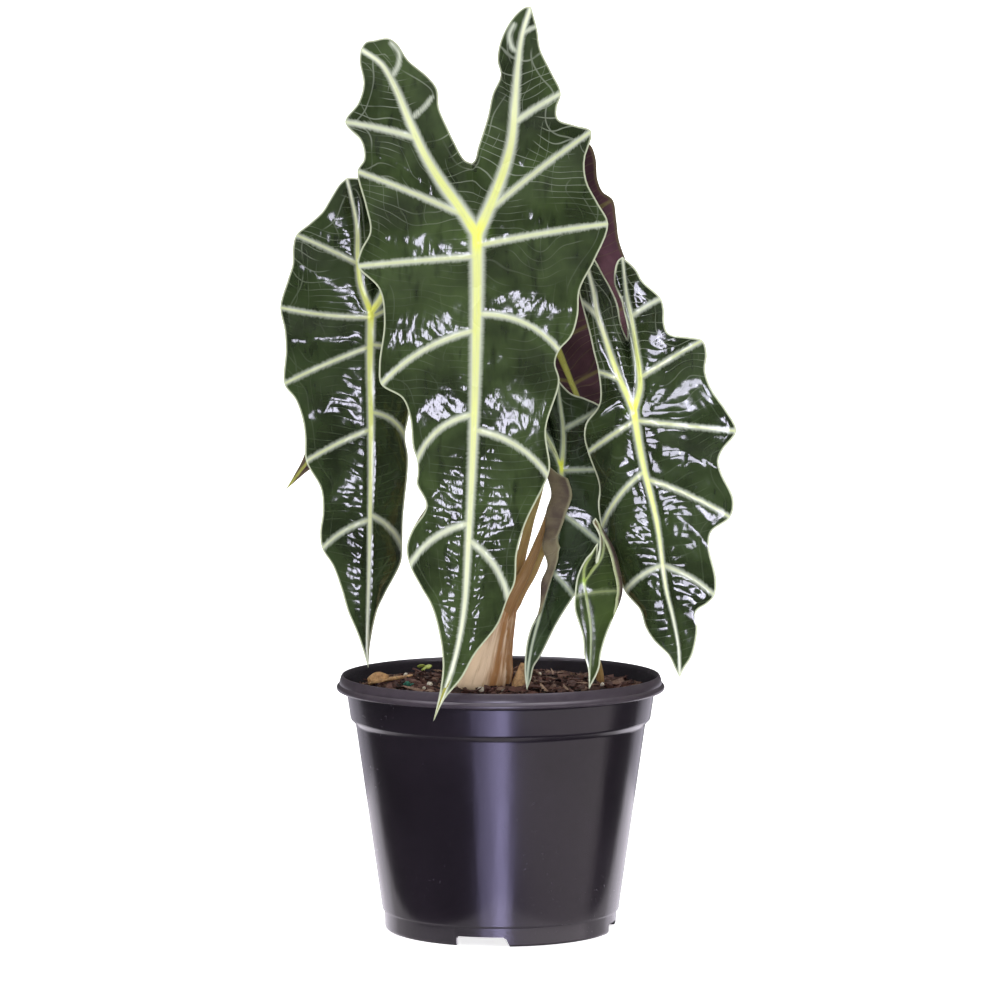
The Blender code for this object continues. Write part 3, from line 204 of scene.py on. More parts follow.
BLADES["back"] = dict(
    junction=(14.5, 30, 325.5), slope=0.456, bow=0.00146, turn=0, faces_front=False, wave=2.6,
    quilt=2.0, groove=1.0, rib_size=0.8, width=75, calm=0.6, ladder=0.12, rungs=0.3, swell=0.4,
    seed=3.3,
    midrib=[(39.5, -96.5), (33, -80), (19, -46), (10, -23.5)],
    left=dict(
        fall=(0.15, 0.001), rib=[(-12, 9), (-30, 18), (-50, 26.5), (-67, 32.5)],
        sinus=[(-5.5, 13.5), (-17, 24.5), (-35, 33), (-52.5, 38)],
        lobes=[
            (20.5, 1.5, [(32, -94.5), (25, -90), (11.5, -78)]),
            (47.5, 2, [(10.5, -67), (7.5, -60.5), (-3.5, -52)]),
            (73, 2, [(-8.5, -42.5), (-14.5, -35), (-26, -25.5)]),
            (113, 1.5, [(-30, -14), (-39, -5), (-49, 5)]),
            (None, 0, [(-52.5, 13), (-61, 21.5)])]),
    right=dict(
        fall=(0.15, 0.001), rib=[(6, 13), (13.5, 30.5), (19.5, 50.5), (25, 71.5)],
        sinus=[(-5.5, 13.5), (-3.5, 28), (3, 45.5), (12, 61.5), (18.5, 69.5)],
        lobes=[
            (19, 1.5, [(43.5, -91), (48.5, -83.5), (54.5, -70.5)]),
            (45.5, 2, [(52.5, -60), (54, -49.5), (58, -37)]),
            (69, 2, [(55, -25.5), (55, -17.5), (56, -10)]),
            (124, 1.5, [(50, 6.5), (45, 20.5), (43.5, 30.5), (41.5, 41)]),
            (None, 0, [(36.5, 45), (34, 51), (33, 61.5), (30.5, 68)])]))
BLADES["far_left"] = dict(
    junction=(-47, 40, 300.5), slope=0.4, bow=0.003, turn=0.2, faces_front=False, wave=2.2, quilt=1.6,
    groove=1.0, rib_size=0.7, width=60, calm=0.6, ladder=0.12, rungs=0.3, swell=0.4, seed=0.2,
    midrib=[(-65, -86), (-51.5, -68), (-38, -50), (-19.5, -26)],
    left=dict(
        fall=(0.15, 0.001), rib=[(1, 15.5), (2, 33.5), (2.5, 48.5), (2.5, 59)],
        sinus=[(8.5, 12), (11.5, 25.5), (10.5, 43.5), (7.5, 55)],
        lobes=[
            (40, 1, [(-60, -77.5), (-55, -68), (-52.5, -59.5), (-50.5, -51.5)]),
            (64.5, 1.5, [(-52.5, -42.5), (-49, -33.5), (-47.5, -23)]),
            (88.5, 1.5, [(-42, -10), (-36.5, -2), (-31.5, 10)]),
            (123, 1, [(-23.5, 21), (-19.5, 31), (-14.5, 41)]),
            (None, 0, [(-11, 48.5), (-6, 55)])]),
    right=dict(
        fall=(0.15, 0.001), rib=[(11, 4), (29, 9), (46.5, 15), (54.5, 17)],
        sinus=[(8.5, 12), (21.5, 16.5), (36.5, 21.5), (48, 22.5)],
        lobes=[
            (36, 1, [(-59, -80.5), (-52.5, -75), (-42.5, -69.5), (-33.5, -64)]),
            (62, 1.5, [(-28, -58.5), (-23, -54), (-12.5, -50)]),
            (86, 1.5, [(-7, -39.5), (-3, -34), (8.5, -29)]),
            (117, 1, [(16, -18.5), (23.5, -13), (36.5, -5.5)]),
            (None, 0, [(41.5, 2.5), (48, 10)])]))

# Leaf stalks: place round the crown's top in degrees, or where they leave the soil, then the
# points that they pass on the way to their blade, and their radii at the foot and at the blade
PETIOLES = {
    "front": dict(angle=250, radii=(2.4, 1.9), via=[(-3, -9, 190), (-6, -16, 240), (-10, -32, 300)]),
    "left": dict(angle=190, radii=(2.3, 1.6), via=[(-11, -2, 185), (-26, -1, 225), (-48, 1, 275)]),
    "right": dict(angle=10, radii=(2.3, 1.7),
                  via=[(15.5, 3, 180), (25, 9, 198), (41, 16, 222), (56, 10, 243)]),
    "middle": dict(angle=310, radii=(2.4, 1.6), via=[(12.4, -4.5, 180), (21, -1, 200), (27.5, 4, 218)]),
    "back": dict(angle=70, radii=(2.3, 1.7),
                 via=[(8.3, 8.3, 180), (14.5, 13, 203), (23, 19, 236), (25, 24.5, 275)]),
    "far_left": dict(angle=130, radii=(2.2, 1.5), via=[(-5.5, 10, 190), (-14, 19, 235), (-34, 26, 278)]),
    "young": dict(mouth=(50.3, 12, 126), radii=(1.7, 1.2), via=[(46.5, 4, 143), (42, -14, 162)]),
}

# Crown, pot and soil, in millimetres and degrees
CROWN_SOIL = np.array([-11.0, -3.0, 122.0])
CROWN_TOP = np.array([0.3, 0.0, 165.0])
CROWN_AXIS = (CROWN_TOP - CROWN_SOIL) / np.linalg.norm(CROWN_TOP - CROWN_SOIL)
CROWN_REACH = 13.5
NOTCH_ANGLE = -98.3
PETIOLE_RING = 6.3
SOCKET_DEPTH = 14.0
SOIL_LEVEL = 121.4
SOIL_RISE = 1.8
SOIL_RADIUS = 76.3
GRAIN = 2.6


# Kinds of shader node: type, settings, the sockets that take its values in order, and its result.
# Any other kind is an operation of the Math node.
NODES = {
    "fade": ("MapRange", {"interpolation_type": "SMOOTHSTEP"}, (0, 1, 2, 3, 4), 0),
    "blend": ("Mix", {"data_type": "RGBA"}, (0, 6, 7), 2),
    "noise": ("TexNoise", {}, ("Vector", "Scale", "Detail", "Roughness"), "Fac"),
    "stretch": ("Mapping", {}, ("Vector", "Scale"), 0),
    "shift": ("VectorMath", {"operation": "ADD"}, (0, 1), 0),
    "length": ("VectorMath", {"operation": "LENGTH"}, (0,), "Value"),
    "join": ("CombineXYZ", {}, (0, 1, 2), 0),
    "split": ("SeparateXYZ", {}, (0,), slice(0, 3)),
    "kept": ("Attribute", {}, (), "Vector"),
    "place": ("TexCoord", {}, (), "Object"),
    "toward": ("TexCoord", {}, (), "Generated"),
    "bump": ("Bump", {}, ("Height", "Distance"), 0),
}


def linear(code):
    """Scene colour from an sRGB hex code."""
    values = [int(code[k:k + 2], 16) / 255 for k in (1, 3, 5)]
    return (*(v / 12.92 if v <= 0.04045 else ((v + 0.055) / 1.055) ** 2.4 for v in values), 1.0)


def fill(node, values):
    """Gives a node's sockets their values: numbers, hex codes or other nodes' results."""
    for socket, value in values.items():
        if isinstance(value, bpy.types.NodeSocket):
            node.id_data.links.new(value, node.inputs[socket])
        else:
            node.inputs[socket].default_value = linear(value) if isinstance(value, str) else value


def add_node(tree, kind, *values, **more):
    """Shader node of a kind with its settings and links; gives its result."""
    node_type, settings, sockets, result = NODES.get(kind, ("Math", {"operation": kind}, (0, 1, 2), 0))
    node = tree.nodes.new("ShaderNode" + node_type)
    for name, value in {**settings, **more}.items():
        setattr(node, name, value)
    fill(node, dict(zip(sockets, values)))
    return node.outputs[result]


def new_material(name):
    """Material, and the function that adds its nodes."""
    made = bpy.data.materials.new(name)
    made.use_nodes = True
    return made, partial(add_node, made.node_tree)


def finish_skin(made, add, colour, rough, height, depth, specular=0.5):
    """Gives a material its colour, its roughness, and a relief of some depth in millimetres."""
    fill(made.node_tree.nodes["Principled BSDF"], {
        "Base Color": colour, "Roughness": rough, "Specular IOR Level": specular,
        "Normal": add("bump", height, depth * MM)})
    return made


def kept(add, name):
    """The three values kept under a name on the mesh."""
    return add("split", add("kept", attribute_name=name))


def coated(add, ground, *coats):
    """Colour with coats over it: each has its colour, then its share or a value that it fades with."""
    for colour, *share in coats:
        ground = add("blend", add("fade", *share) if len(share) > 1 else share[0], ground, colour)
    return ground


def streaks(add, along, rate_along, across, rate_across, shift=0, detail=2, roughness=0.5):
    """Noise drawn out along a piece, with its repeats per unit along and across."""
    vector = add("join", add("MULTIPLY", along, rate_along), add("MULTIPLY", across, rate_across), shift)
    return add("noise", vector, 1, detail, roughness)


def net_lines(add, value, width):
    """Thin lines wherever a value passes a whole number and a half."""
    off = add("ABSOLUTE", add("SUBTRACT", add("FRACT", value), 0.5))
    return add("fade", off, width * 0.35, width, 1, 0)


def in_patches(add, value, place, scale, low, high, most):
    """A value that shows only in cloudy patches."""
    return add("MULTIPLY", value, add("fade", add("noise", place, scale, 1), low, high, 0, most))


def leaf_top(name, dark, light, halo, pale, core, bright, gloss, fine_share=1.0, vein_share=1.0, dry_top=0.0):
    """Upper face of a blade: dark waxy green, silver-feathered veins with a yellow-green core."""
    made, add = new_material(name)
    place = add("place")
    along, reach, spread = kept(add, "place")
    rib, vein, edge = kept(add, "lines")
    half, vein_half, glow = kept(add, "sizes")
    rung_height, pucker, level = kept(add, "relief")
    aside = add("shift", place, (0.31, 0.17, 0.23))
    cloud = add("noise", place, 38, 3)
    # Long dents: they dip the relief, and the dark coat laid along them is painted shade.
    dents_and_shade = add("noise", add("stretch", aside, (170, 60, 55)), 1, 2)
    # Fine pale net: rungs across the blade, lines along it, and one loose line inside the margin
    sway = add("SUBTRACT", add("noise", place, 30, 1), 0.5)
    sway_aside = add("SUBTRACT", add("noise", aside, 36, 1), 0.5)
    loose = add("MULTIPLY", sway, add("fade", level, -140, 0, 1.8, 6.5))
    rung_at = add("MULTIPLY_ADD", level, 1 / LADDER_STEP, loose)
    rung_wave = add("ABSOLUTE", add("SINE", add("MULTIPLY", rung_at, math.pi)))
    rungs = in_patches(add, add("fade", rung_wave, 0.05, 0.24, 1, 0), aside, 50, 0.4, 0.58, 1)
    across = net_lines(add, add("MULTIPLY_ADD", reach, 0.11, add("MULTIPLY", sway_aside, 3)), 0.04)
    across = in_patches(add, across, place, 60, 0.5, 0.62, 0.55)
    seam = add("ABSOLUTE", add("SUBTRACT", edge, add("MULTIPLY_ADD", sway, 12, 5)))
    seam = in_patches(add, add("fade", seam, 0.1, 0.5, 1, 0), aside, 40, 0.42, 0.55, 0.8)
    fine = add("MAXIMUM", add("MAXIMUM", rungs, across), seam)
    # Feathered silver halo beside the ribs and the side veins
    comb = streaks(add, along, 1.3, rib, 0.25, roughness=0.6)
    wide = add("MULTIPLY_ADD", spread, add("fade", comb, 0.2, 0.8, 0.7, 1.15), half)
    silver = add("fade", rib, add("MULTIPLY", half, 0.8), wide, 1, 0)
    comb = streaks(add, reach, 0.8, vein, 0.3, 4, roughness=0.6)
    wide = add("ADD", vein_half, add("fade", comb, 0.2, 0.8, 0.8, 2))
    silver = add("MAXIMUM", silver, add("fade", vein, add("MULTIPLY", vein_half, 0.4), wide, 1, 0))
    # Vein cores, yellow-green round the junction and paler away from it
    yellow = coated(add, pale, (core, glow, 0.02, 0.3, 0, 1), (bright, glow, 0.3, 1, 0, 1))
    streaked = coated(add, yellow, (halo, streaks(add, along, 0.05, rib, 1.6), 0.35, 0.7, 0, 0.3))
    vein_core = add("fade", vein, add("MULTIPLY", vein_half, 0.3), add("MULTIPLY", vein_half, 0.9), 1, 0)
    rib_core = add("fade", rib, add("MULTIPLY", half, 0.45), add("ADD", half, 0.3), 1, 0)
    pale_rim = "#b3b99d"
    # The near-black coat along the dents is painted shade.
    colour = coated(
        add, dark, (light, cloud, 0.3, 0.7, 0, 1), ("#10180a", dents_and_shade, 0.55, 0.72, 0, 0.55),
        ("#5d7a22", glow, 0.35, 1, 0, 0.3), ("#54432f", level, 12, 24, 0, dry_top),
        (halo, add("MULTIPLY", fine, add("fade", level, -20, 45, 0.05, 0.3))),
        (halo, add("MULTIPLY", silver, 0.9 * vein_share)),
        (yellow, add("MULTIPLY", vein_core, 0.35 * vein_share)),
        (streaked, add("MULTIPLY", rib_core, vein_share)), (pale_rim, edge, 0.4, 1.1, 0.85, 0))
    rough = add("ADD", add("MULTIPLY_ADD", silver, 0.14, gloss), add("fade", cloud, 0.3, 0.7, 0, 0.04))
    # Relief in millimetres: pillows between the rungs, and puckers
    pillow = add("MULTIPLY", add("POWER", rung_wave, 0.8), rung_height)
    puckers = add("MULTIPLY_ADD", add("noise", place, 90, 1), 1.1, add("MULTIPLY", dents_and_shade, 0.6 * fine_share))
    fold = add("noise", add("stretch", place, (420, 150, 150)), 1, 2)
    puckers = add("MULTIPLY_ADD", fold, 0.3 * fine_share, puckers)
    return finish_skin(made, add, colour, rough, add("MULTIPLY_ADD", puckers, pucker, pillow), 1, 0.6)


def leaf_under(name, ground, deep, rib_colour, edge_colour, painted_rib_shade=0.0):
    """Underside of a blade: dull purple or brown, with raised olive ribs and an olive rim, and painted shade
    that darkens it near the rib.
    """
    made, add = new_material(name)
    place = add("place")
    along = kept(add, "place")[0]
    rib, vein, edge = kept(add, "lines")
    half = kept(add, "sizes")[0]
    sway = add("MULTIPLY", add("noise", place, 40, 1), 2.6)
    net = net_lines(add, add("MULTIPLY_ADD", along, 0.19, sway), 0.09)
    on_rib = add("fade", rib, add("MULTIPLY", half, 0.7), add("ADD", half, 0.5), 1, 0)
    # The near-black coat round the rib is painted shade, as cast by the leaves in front.
    colour = coated(
        add, deep, (ground, add("noise", place, 60, 4), 0.35, 0.65, 0, 1),
        ("#241015", rib, 8, 40, painted_rib_shade, 0), (rib_colour, add("MULTIPLY", net, 0.07)),
        (rib_colour, vein, 0.4, 1.3, 0.25, 0), (edge_colour, edge, 0.5, 2, 0.8, 0), (rib_colour, on_rib))
    grain = streaks(add, along, 0.12, edge, 1.4, detail=3)
    return finish_skin(made, add, colour, 0.45, add("ADD", grain, net), 0.2, 0.3)


def stalk_skin(name, low, high, streak_colour):
    """Smooth leaf stalk, darker at its foot, with fine lengthwise streaks."""
    made, add = new_material(name)
    along, turn, share = kept(add, "place")
    streak = streaks(add, along, 0.06, turn, 5, detail=3)
    blot = add("SUBTRACT", streaks(add, along, 0.12, turn, 0.8, 3), 0.5)
    climb = add("MULTIPLY_ADD", blot, 0.35, share)
    colour = coated(add, low, (high, climb, 0.05, 0.6, 0, 1), (streak_colour, streak, 0.45, 0.75, 0, 0.55))
    return finish_skin(made, add, colour, add("fade", climb, 0.1, 0.5, 0.6, 0.38), streak, 0.2)


def dry_sheath(name, pale, mid, deep):
    """Dry papery leaf base: long brown fibres, paler worn patches, darker creases, and a left side painted
    paler as painted light.
    """
    made, add = new_material(name)
    along, turn, side = kept(add, "place")
    fibre = streaks(add, along, 0.05, turn, 12, 0, 4, 0.6)
    # Pale bands of the sheaths, with the left side made paler still: the left side's paleness is painted
    # light.
    pale_and_sheen = add("MULTIPLY_ADD", side, -0.22, streaks(add, along, 0.03, turn, 2, 5))
    worn = add("noise", add("place"), 110, 3)
    colour = coated(add, mid, (pale, pale_and_sheen, 0.3, 0.58, 0, 1), (deep, fibre, 0.48, 0.8, 0, 0.55),
                    (pale, worn, 0.55, 0.75, 0, 0.35), ("#4a3022", along, 0, 5, 0.5, 0))
    return finish_skin(made, add, colour, 0.55, add("MULTIPLY_ADD", worn, 0.4, fibre), 0.6, 0.35)


def pot_plastic(name):
    """Thin glossy black plastic with a purplish cast, faint flow lines and dust, and a rougher lip painted
    grey as painted light.
    """
    made, add = new_material(name)
    place = add("place")
    cloud = add("noise", place, 18, 3)
    dust = add("fade", add("noise", place, 420, 3, 0.7), 0.66, 0.74, 0, 1)
    specks = add("MULTIPLY", dust, add("fade", add("noise", place, 24, 2), 0.48, 0.66, 0, 1))
    # The folded lip is made rougher, and painted grey unevenly: the grey is painted light, standing in for
    # its softly lit top.
    x, y, height = add("split", place)
    lip = add("MULTIPLY", add("fade", add("length", add("join", x, y)), 0.0786, 0.0796, 0, 1),
              add("fade", height, 0.1206, 0.1216, 0, 1))
    painted_lip_light = add("MULTIPLY", lip, add("fade", add("noise", place, 60, 4, 0.7), 0.3, 0.7, 0.65, 1))
    colour = coated(add, "#0f0b10", ("#151016", cloud, 0.3, 0.7, 0, 1),
                    ("#5a545a", add("MULTIPLY", specks, 0.4)), ("#332d31", painted_lip_light))
    worn = add("MULTIPLY_ADD", painted_lip_light, 0.1, add("MULTIPLY", specks, 0.3))
    rough = add("ADD", worn, add("fade", cloud, 0.3, 0.7, 0.2, 0.26))
    flow = add("noise", add("stretch", place, (60, 60, 8)), 1, 3)
    return finish_skin(made, add, colour, rough, add("MULTIPLY_ADD", specks, 0.05, flow), 0.25)


def bark_mix(name):
    """Moist bark and peat: chips from near black to reddish brown and tan, fibrous, unevenly worn."""
    made, add = new_material(name)
    tone = kept(add, "place")[0]
    place = add("place")
    grain = add("noise", add("stretch", place, (900, 350, 600)), 1, 4, 0.6)
    worn = add("noise", place, 260, 3)
    colour = coated(add, "#211714", ("#61423a", tone, 0, 0.55, 0, 1), ("#a58b74", tone, 0.55, 1, 0, 1),
                    ("#2a1811", grain, 0.4, 0.7, 0, 0.55), ("#8a6c5e", worn, 0.6, 0.75, 0, 0.35))
    return finish_skin(made, add, colour, 0.72, add("ADD", grain, worn), 0.8, 0.3)


def plain_grain(name, base, spot, scale, roughness):
    """Mottled matt solid, such as perlite, dried leaf or a seedling."""
    made, add = new_material(name)
    mottle = add("noise", add("place"), scale, 4, 0.6)
    colour = coated(add, base, (spot, mottle, 0.38, 0.66, 0, 1))
    return finish_skin(made, add, colour, roughness, mottle, 0.3)


def smooth(points, at):
    """Smooth path through points, read where at counts the points from 0."""
    knots = np.array(points, float)
    ends = np.vstack([2 * knots[0] - knots[1], knots, 2 * knots[-1] - knots[-2]])
    at = np.clip(np.asarray(at, float), 0, len(knots) - 1)
    index = np.minimum(at.astype(int), len(knots) - 2)
    part = (at - index)[:, None]
    before, start, end, after = (ends[index + k] for k in range(4))
    span = [np.maximum(np.linalg.norm(b - a, axis=1, keepdims=True), 1e-6) ** 0.5
            for a, b in ((before, start), (start, end), (end, after))]
    chord = end - start
    leave = chord + span[1] * ((start - before) / span[0] - (end - before) / (span[0] + span[1]))
    arrive = chord + span[1] * ((after - end) / span[2] - (after - start) / (span[1] + span[2]))
    return (start + leave * part + (3 * chord - 2 * leave - arrive) * part ** 2
            + (leave + arrive - 2 * chord) * part ** 3)


def measured(points, steps=24):
    """Smooth path through points, with its running length."""
    path = smooth(points, np.linspace(0, len(points) - 1, (len(points) - 1) * steps + 1))
    length = np.concatenate([[0], np.cumsum(np.linalg.norm(np.diff(path, axis=0), axis=1))])
    return path, length


def stepped(stops, step):
    """Values from the first stop to the last, through each, no further apart than step."""
    stops = sorted(set(stops))
    values = [stops[0]]
    for low, high in zip(stops, stops[1:]):
        count = max(1, math.ceil((high - low) / step - 0.25))
        values += [low + (high - low) * k / count for k in range(1, count + 1)]
    return np.array(values)


def distance(points, line):
    """Distance of each place from a line of points."""
    flat = points.reshape(-1, 2)
    start, run = line[:-1], np.diff(line, axis=0)
    size = np.maximum((run ** 2).sum(1), 1e-9)
    nearest = np.empty(len(flat))
    for low in range(0, len(flat), 4000):
        gap = flat[low:low + 4000, None] - start
        share = np.clip((gap * run).sum(2) / size, 0, 1)
        nearest[low:low + 4000] = np.sqrt(((gap - share[..., None] * run) ** 2).sum(2).min(1))
    return nearest.reshape(points.shape[:-1])


def bell(value, width):
    """1 where a value is 0, falling away smoothly within about twice a width."""
    return np.exp(-(value / width) ** 2)


def ramp(value, width):
    """Rises from 0 where a value is 0 to 1 where it reaches a width."""
    return np.clip(value / width, 0, 1)


def rumple(across, up, seed):
    """Uneven swelling of a blade, from about -1 to 1."""
    bent = across + 3.2 * np.sin(0.17 * up + seed)
    risen = up + 3.0 * np.sin(0.2 * across + 2 * seed)
    return (0.5 * np.sin(0.3 * bent + seed) * np.sin(0.27 * risen + 0.6)
            + 0.35 * np.sin(0.62 * bent + 1.1 + seed) * np.sin(0.55 * risen + seed)
            + 0.15 * np.sin(1.05 * bent + 0.5 * risen) * np.sin(0.95 * risen - 0.3 * bent))


def patch(blade, falls, rows, path, length, margin, margin_at, phase, bows, columns, roots):
    """Fine points between a rib and a margin, with the values that colour them."""
    rib = np.stack([np.interp(rows, length, path[:, k]) for k in (0, 1)], -1)
    edge = smooth(margin, margin_at)
    chord = edge - rib
    width = np.linalg.norm(chord, axis=1)
    square = np.stack([-chord[:, 1], chord[:, 0]], -1) / np.maximum(width, 1e-6)[:, None]
    square *= np.where(square[:, 1] < 0, -1, 1)[:, None]
    middle = (rib + edge) / 2 + square * bows[:, None]
    # Close columns beside the rib, then even ones out to the margin
    close = len(RIB_COLUMNS)
    beside = np.minimum(RIB_COLUMNS / np.maximum(width, 1e-6)[:, None], np.arange(close) / columns)
    rest = beside[:, -1:] + (1 - beside[:, -1:]) * np.linspace(0, 1, columns - close + 2)[1:]
    out = np.hstack([beside, rest])
    t = out[..., None]
    flat = rib[:, None] * (1 - t) ** 2 + 2 * middle[:, None] * t * (1 - t) + edge[:, None] * t ** 2
    x, z = flat[..., 0], flat[..., 1]
    reach = width[:, None] * out
    ease = np.minimum(1, width / FALL_WIDTH)[:, None]
    tail = np.minimum(1, np.minimum(rows, length[-1] - rows) / FALL_WIDTH)[:, None]
    fall = falls[:, :1] * reach + falls[:, 1:] * reach ** 2
    ripple = -blade["wave"] * np.cos(2 * math.pi * phase)[:, None] * out ** 2 * ease
    puff = blade["quilt"] * np.abs(np.sin(math.pi * phase))[:, None] * 4 * out * (1 - out) * ease
    to_rib = distance(flat, path[::6])
    to_edge = distance(flat, edge)
    to_vein = np.full(out.shape, FAR)
    for root in roots:
        to_vein = np.minimum(to_vein, distance(flat, flat[np.argmin(np.abs(rows - root))]))
    for twig in blade.get("twigs", []):
        to_vein = np.minimum(to_vein, distance(flat, measured(twig, 6)[0]) + 0.55)
    # Half widths of the ribs, the warm glow round the junction, and how far up the leaf a place lies
    whole = length[-1]
    joint = length[np.argmin(np.hypot(*path.T))]
    size = blade["rib_size"]
    half = np.where(rows < joint, 0.5 + 2.4 * (rows / joint) ** 1.2,
                    0.5 + 2.1 * (1 - (rows - joint) / (whole - joint)) ** 0.9) * size
    half = np.tile(half[:, None], (1, columns + 1))
    vein_half = (1.6 - 0.6 * out) * (0.5 + 0.5 * size)
    warm = np.where(rows < joint, 0.4 * (rows / joint) ** 1.1, 0.45 * np.exp(-(rows - joint) / (62 * size)))
    upward = -np.array(blade["midrib"][0]) / np.linalg.norm(blade["midrib"][0])
    level = flat @ upward - 0.12 * to_rib
    spread = (1.2 + 1.5 * ramp(half, 2.9 * size)) * size ** 0.7
    glow = np.maximum(bell(np.hypot(x, z), 11 * size), warm[:, None])
    # Relief: groove and ridge of the rib, and a crease over each side vein
    tail = tail * (1 - bell(np.hypot(x, z), 6 * size + 2))
    groove = -blade["groove"] * bell(to_rib, GROOVE_WIDTH) * tail
    crown = 0.45 * size * bell(to_rib, 0.7 * half + 0.2) * tail
    crease = -0.5 * bell(to_vein, 1.3) * ramp(to_edge, 6) * ease
    # Cross folds beside the midrib, fuller in the lower part, and uneven swelling
    lower = ramp(0.62 * joint - rows, 0.3 * joint)[:, None]
    beside = ramp(to_rib - half, 2) * ramp(0.72 - out, 0.25)
    ladder = blade["ladder"] * beside * (blade["rungs"] + (1 - blade["rungs"]) * lower) * ease
    calm = blade["calm"] + (1 - blade["calm"]) * lower
    swell = blade["swell"] * ease
    bubble = swell * calm * rumple(x, z, blade["seed"])
    bubble *= ramp(to_rib, 6) * np.clip(to_edge / 5, 0.2, 1)
    pucker = swell * 0.7 * (1 + calm) * ramp(to_rib, 4) * np.clip(to_edge / 3, 0.2, 1)
    relief = ripple + puff - fall + groove + crown + crease + bubble
    if not blade["faces_front"]:
        relief = -relief
    depth = blade["slope"] * z - blade["bow"] * z ** 2 - blade["turn"] * x + relief
    points = np.stack([x, -depth, z], -1)
    along = np.tile(np.minimum(rows, whole - rows)[:, None], (1, columns + 1))
    values = [along, reach, spread, to_rib, to_vein, to_edge, half, vein_half, glow, ladder, pucker, level]
    return points, np.stack(values, -1)


def fold_strip(points, values, widths):
    """Margin rolled over towards the front: a round bend, then a strip that lies back inwards."""
    reach = points[:, -1] - points[:, 0]
    reach[:, 1] = 0
    width = np.maximum(np.linalg.norm(reach, axis=1), 1e-6)
    inward = -reach / width[:, None]
    full = ramp(widths, FOLD_FULL)
    bend, radius = math.pi * full, FOLD_RADIUS * full
    edge = points[:, -1] + inward * (radius * np.sin(np.minimum(bend, math.pi / 2)))[:, None]
    columns = [edge]
    for share in np.arange(1, FOLD_COLUMNS + 1) / FOLD_COLUMNS:
        angle = bend * share
        column = edge - inward * (radius * np.sin(angle))[:, None]
        column[:, 1] -= radius * (1 - np.cos(angle))
        columns.append(column)
    last = columns[-1]
    for share in np.arange(1, FLAP_COLUMNS + 1) / FLAP_COLUMNS:
        flap = last + inward * (widths * share)[:, None]
        for row, column in enumerate(flap):
            out = np.linalg.norm(points[row, :, ::2] - points[row, 0, ::2], axis=1)
            over = np.interp(width[row] - widths[row] * share, out, points[row, :, 1])
            column[1] += (over - points[row, -1, 1]) * FOLD_FOLLOW
        columns.append(flap)
    extra = np.repeat(values[:, -1:], FOLD_COLUMNS + FLAP_COLUMNS, 1)
    all_points = np.concatenate([points[:, :-1], np.stack(columns, 1)], 1)
    all_values = np.concatenate([values, extra], 1)
    count = values.shape[1]
    spare = np.linalg.norm(np.diff(all_points, axis=1), axis=2)[:, count - 1:]
    left = np.cumsum(spare[:, ::-1], axis=1)[:, ::-1]
    rolled = widths > 0
    all_values[rolled, :count, TO_EDGE] += left[rolled, :1]
    all_values[rolled, count - 1:-1, TO_EDGE] = left[rolled]
    all_values[rolled, -1, TO_EDGE] = 0
    all_values[:, count:, TO_VEIN] = FAR
    return all_points, all_values


